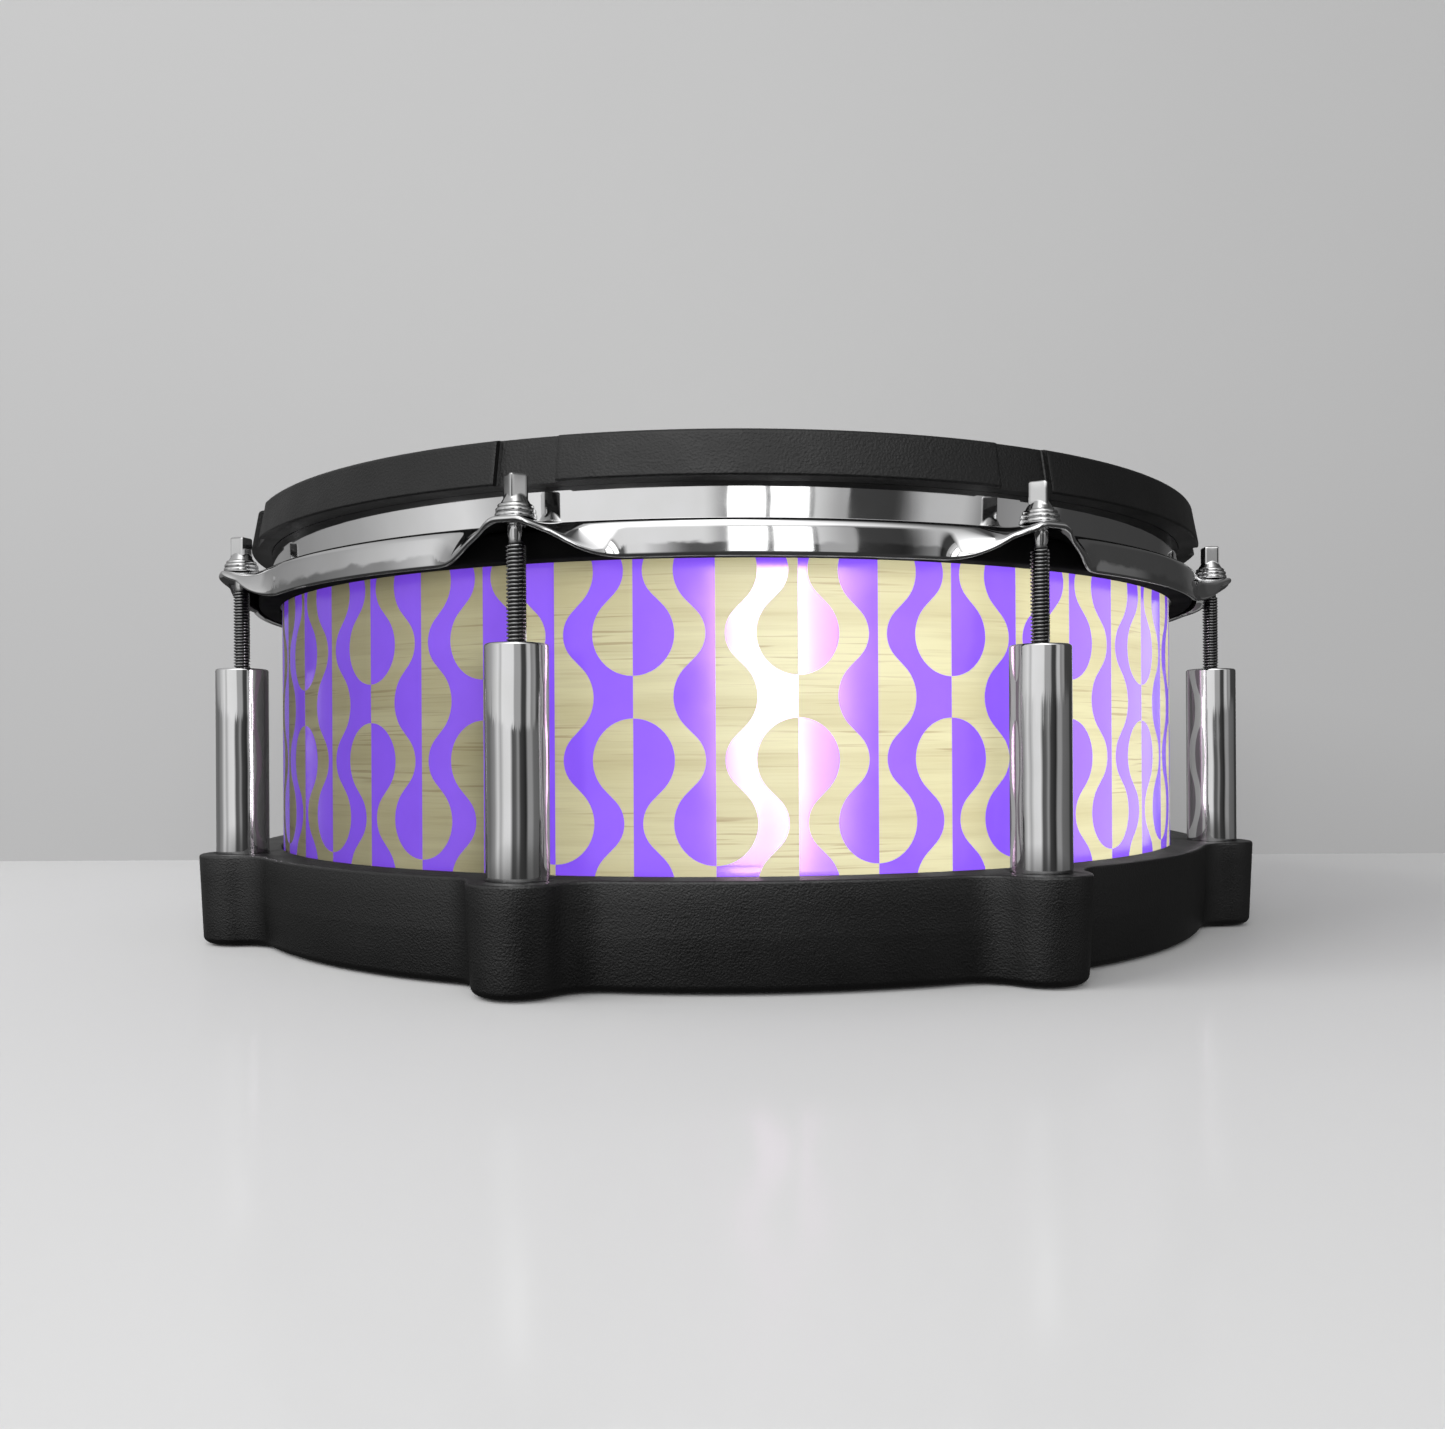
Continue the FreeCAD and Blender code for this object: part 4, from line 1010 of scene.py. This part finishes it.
def jack_nut():
    """Hexagon nut whose corners are cut back by a cone towards its face."""
    segments = 48

    def hexagon(y, cap):
        turns = [math.radians((360 * j / segments) % 60 - 30) for j in range(segments)]
        return [(min(JACK_NUT_FLATS / 2 / math.cos(a), cap), y) for a in turns]

    face = JACK_PLATE_Y + JACK_NUT_T
    rows = [hexagon(JACK_PLATE_Y, 9), hexagon(face - 0.5, 9), hexagon(face, 6.55)]
    rows += even_rows([(5.2, face), (4.8, face - 0.4), (4.8, JACK_PLATE_Y)], segments)
    place(turned_along_y("jack_nut_hexagon", rows, CHROME), "drum", "chrome", "jack_nut")


# ---- materials of the CAD nodes that stay ---------------------------------------------------
def paint_kept_nodes():
    kept = (
        (ZINC, ("cover_screws", "lug_nuts", "lug_plugs", "lug_screws", "bridge_screws", "grommet_bolts",
                "jack_plate_screws")),
        (BRIDGE_STEEL, ("sensor_bridge", "sensor_plate")),
        (BRASS, ("head_sensor", "rim_sensor")),
        (FOAM, ("sensor_pad", "foam_cone", "rim_sensor_pad")),
        (LEAD_BLACK, ("head_sensor_lead", "rim_sensor_lead")),
        (PANEL_BLACK, ("bottom_cover",)),
        (FOOT_BLACK, ("bridge_grommets",)),
        (BASE_BLACK, ("jack_plate",)),
        (SHELL_WOOD, ("shell",)),
    )
    for material, names in kept:
        for name in names:
            for slot in frame["nodes"][name].material_slots:
                slot.material = material


# ---- stage, light and camera ----------------------------------------------------------------
CAMERA_TURN = -5.25           # from -Y towards -X
CAMERA_AWAY = 511.4
CAMERA_Z = 67.05
AIM_Z = 90.0                  # height on the drum's axis that the lights point at
STAGE_R = 4000.0
WALL_BEHIND = 231.0
WALL_HALF = 3990.0
WALL_HIGH = 2200.0


def camera_frame(right, away, up):
    """Place in metres from distances along the camera's right, towards the camera, and up."""
    a = math.radians(CAMERA_TURN)
    x = right * math.cos(a) + away * math.sin(a)
    y = right * math.sin(a) - away * math.cos(a)
    return Vector((x * MM, y * MM, up * MM))


def camera():
    data = bpy.data.cameras.new("camera")
    data.sensor_width = 36.0
    data.lens = 29.78
    data.shift_y = 0.0240
    data.clip_start = 0.01
    obj = bpy.data.objects.new("camera", data)
    scene.collection.objects.link(obj)
    obj.location = camera_frame(0, CAMERA_AWAY, CAMERA_Z)
    obj.rotation_mode = "XYZ"
    obj.rotation_euler = (math.radians(90), math.radians(0.34), math.radians(CAMERA_TURN + 0.16))
    scene.camera = obj


def stage_material(name, tone, gloss):
    """Matt surface with a trace of mottle and a share of gloss; gives its nodes and its output."""
    n = MaterialNodes(name)
    n.tree.nodes.remove(n.shader)
    matt = n.add("ShaderNodeBsdfDiffuse")
    n.link(n.ramp(n.noise(3.0, 3), [(0.3, tone), (0.7, tone * 0.98)]), matt.inputs["Color"])
    shiny = n.add("ShaderNodeBsdfGlossy")
    shiny.inputs["Roughness"].default_value = 0.13
    return n, blended(n, gloss, matt.outputs[0], shiny.outputs[0])


def blended(n, factor, a, b):
    """Mixes two shaders and makes the result the material's surface."""
    blend = n.add("ShaderNodeMixShader")
    n.feed(blend.inputs["Fac"], factor)
    n.link(a, blend.inputs[1])
    n.link(b, blend.inputs[2])
    n.link(blend.outputs[0], n.tree.nodes["Material Output"].inputs["Surface"])
    return blend.outputs[0]


def table_top():
    n, _ = stage_material("floor_pale", 0.72, 0.07)
    edge = [polar(STAGE_R, 5 * k) for k in range(72)]
    floor = new_object("floor", edge, [tuple(range(72))], [n.material])
    floor.visible_glossy = False
    floor.visible_diffuse = False
    return floor


def back_wall():
    """Upright sheet behind the drum; seen from its back it is clear, so views from behind aren't blocked."""
    n, surface = stage_material("wall_pale", 0.57, 0.0)
    clear = n.add("ShaderNodeBsdfTransparent")
    behind = n.add("ShaderNodeNewGeometry").outputs["Backfacing"]
    blended(n, behind, surface, clear.outputs[0])
    corners = ((-WALL_HALF, 0), (WALL_HALF, 0), (WALL_HALF, WALL_HIGH), (-WALL_HALF, WALL_HIGH))
    mesh = bpy.data.meshes.new("wall")
    mesh.from_pydata([camera_frame(x, -WALL_BEHIND, z) for x, z in corners], [], [(0, 1, 2, 3)])
    mesh.materials.append(n.material)
    obj = bpy.data.objects.new("wall", mesh)
    scene.collection.objects.link(obj)
    obj.visible_glossy = False
    return obj


def stage():
    """Table top and wall.  The plating mirrors the room in the world's shader instead of these two."""
    table_top()
    back_wall()


def softbox(name, turn, away, up, wide, high, power, reached):
    """Soft rectangular light that lights but isn't mirrored, `turn` degrees round from the camera's side.

    It faces the drum and lights only the pieces of the collection `reached`.
    """
    data = bpy.data.lights.new(name, "AREA")
    data.shape = "RECTANGLE"
    data.size = wide * MM
    data.size_y = high * MM
    data.energy = power
    obj = bpy.data.objects.new(name, data)
    scene.collection.objects.link(obj)
    a = math.radians(turn)
    obj.location = camera_frame(away * math.sin(a), away * math.cos(a), up)
    obj.rotation_euler = (Vector((0, 0, AIM_Z * MM)) - obj.location).to_track_quat("-Z", "Y").to_euler()
    obj.visible_camera = False
    obj.visible_glossy = False
    obj.light_linking.receiver_collection = reached
    return obj


def mirrored_panel(*place_and_power):
    """A light like a softbox that only reflections show."""
    obj = softbox(*place_and_power)
    obj.visible_glossy = True
    obj.visible_diffuse = False


def window(name, power, reached):
    """Three tall panes side by side that only reflections show; the third is dimmer."""
    for k, share in enumerate((1.0, 1.0, 0.25)):
        mirrored_panel(f"{name}_{k + 1}", 4.7 + 9.1 * k, 2000, 300, 272, 980, power * share, reached)


def pieces_named(label, *names):
    """A collection of the pieces whose names start so, for choosing what a light reaches."""
    group = bpy.data.collections.new(label)
    for obj in scene.objects:
        if obj.name.startswith(names):
            group.objects.link(obj)
    return group


def all_but(group):
    """Makes a collection stand for everything that isn't in it."""
    for member in group.collection_objects:
        member.light_linking.link_state = "EXCLUDE"
    return group


def lights():
    """Softboxes and panels: some for the table and wall, some for the print, and some for the rest."""
    room = pieces_named("surroundings", "floor", "wall")
    wrap = pieces_named("print_only", "printed_wrap")
    rims = pieces_named("bright_rims", "hoop_pressed", "upper_washers", "lower_washers")
    but_wrap = all_but(pieces_named("all_but_print", "printed_wrap"))
    but_room = all_but(pieces_named("all_but_room", "floor", "wall"))

    softbox("overhead", -60, 800, 1900, 2400, 1800, 11.0, but_wrap)
    softbox("left_fill", -64, 2300, 1500, 1700, 1500, 35.0, room)
    softbox("front_fill", 0, 1700, 700, 1500, 900, 18.5, room)
    back = softbox("back_fill", 175, 1500, 1100, 1800, 1400, 22.0, but_room)
    back.light_linking.blocker_collection = but_room
    key = softbox("shell_key", 34, 1900, 450, 1700, 1000, 46.0, wrap)
    key.light_linking.blocker_collection = wrap
    mirrored_panel("side_panel", 104, 1500, 200, 1600, 1200, 8.5, wrap)
    window("shell_window", 25.0, wrap)
    window("rim_window", 1.3, rims)


# The room that the plating mirrors high up, low down and overhead: (turn from the camera's side, tone).
ROOM_HIGH = (
    (-180, 0.28), (-125, 0.28), (-95, 0.42), (-62, 0.85), (-52, 0.55), (-45, 0.9), (-4, 0.85), (0, 0.40),
    (20, 0.40), (26, 0.06), (40, 0.05), (47, 0.55), (56, 0.60), (62, 0.25), (76, 0.35), (84, 0.06),
    (130, 0.05), (180, 0.28))
ROOM_LOW = (
    (-180, 0.22), (-105, 0.15), (-80, 0.30), (-64, 0.75), (-52, 0.45), (-40, 0.80), (-17, 0.85), (-8, 0.10),
    (3, 0.12), (12, 0.32), (20, 0.06), (40, 0.02), (48, 0.32), (62, 0.32), (70, 0.16), (104, 0.12),
    (112, 0.04), (130, 0.04), (180, 0.22))
ROOM_TOP = (
    (-180, 0.35), (-100, 0.50), (-60, 0.66), (-12, 2.10), (12, 2.00), (30, 1.10), (60, 0.30), (95, 0.07),
    (130, 0.07), (180, 0.35))
ROOM_SPLIT = 0.095            # height of the line between low and high, as the sine of its angle


def world():
    """Soft room light that differs with direction, as the plating shows; plain grey to the camera."""
    room = bpy.data.worlds.new("room")
    scene.world = room
    room.use_nodes = True
    n = Nodes(room.node_tree)
    way = n.add("ShaderNodeTexCoord").outputs["Generated"]
    axes = n.add("ShaderNodeSeparateXYZ")
    n.link(way, axes.inputs[0])
    angle = n.math("ARCTAN2", axes.outputs["X"], n.math("MULTIPLY", axes.outputs["Y"], -1.0))
    turn = n.math("MULTIPLY_ADD", angle, 1 / math.tau, 0.5)

    def tones(stops):
        return n.ramp(turn, [(min(1.0, max(0.0, (degrees + CAMERA_TURN) / 360 + 0.5)), tone)
                             for degrees, tone in stops])

    rough_edge = n.add("ShaderNodeTexNoise")
    n.link(way, rough_edge.inputs["Vector"])
    rough_edge.inputs["Scale"].default_value = 14.0
    rough_edge.inputs["Detail"].default_value = 3.0
    up = axes.outputs["Z"]
    height = n.math("MULTIPLY_ADD", rough_edge.outputs["Fac"], 0.12, up)
    high = n.share_between(height, ROOM_SPLIT + 0.045, ROOM_SPLIT + 0.075)
    mirrored = n.mix(high, tones(ROOM_LOW), tones(ROOM_HIGH))
    mirrored = n.mix(n.share_between(up, 0.34, 0.46), mirrored, tones(ROOM_TOP))
    mirrored = n.mix(n.share_between(up, -0.14, -0.27), mirrored, grey(0.04))
    path = n.add("ShaderNodeLightPath")
    plain = n.mix(path.outputs["Is Camera Ray"], grey(0.24), grey(0.55))
    color = n.mix(path.outputs["Is Glossy Ray"], plain, mirrored)
    n.link(color, n.tree.nodes["Background"].inputs["Color"])


base_frame()
lug_tubes()
tension_rods()
washers("lower_washers_turned", LOWER_WASHER_R, 0, "lower_washers", "chrome", WASHER_STEEL)
washers("upper_washers_turned", UPPER_WASHER_R, 1, "upper_washers", "washer_steel", WASHER_STEEL)
hoop()
hoop_cover()
head_hoop()
mesh_head()
printed_wrap()
foot_pads()
jack_bush()
jack_nut()
paint_kept_nodes()
stage()
lights()
world()
camera()
scene.view_settings.view_transform = "Standard"
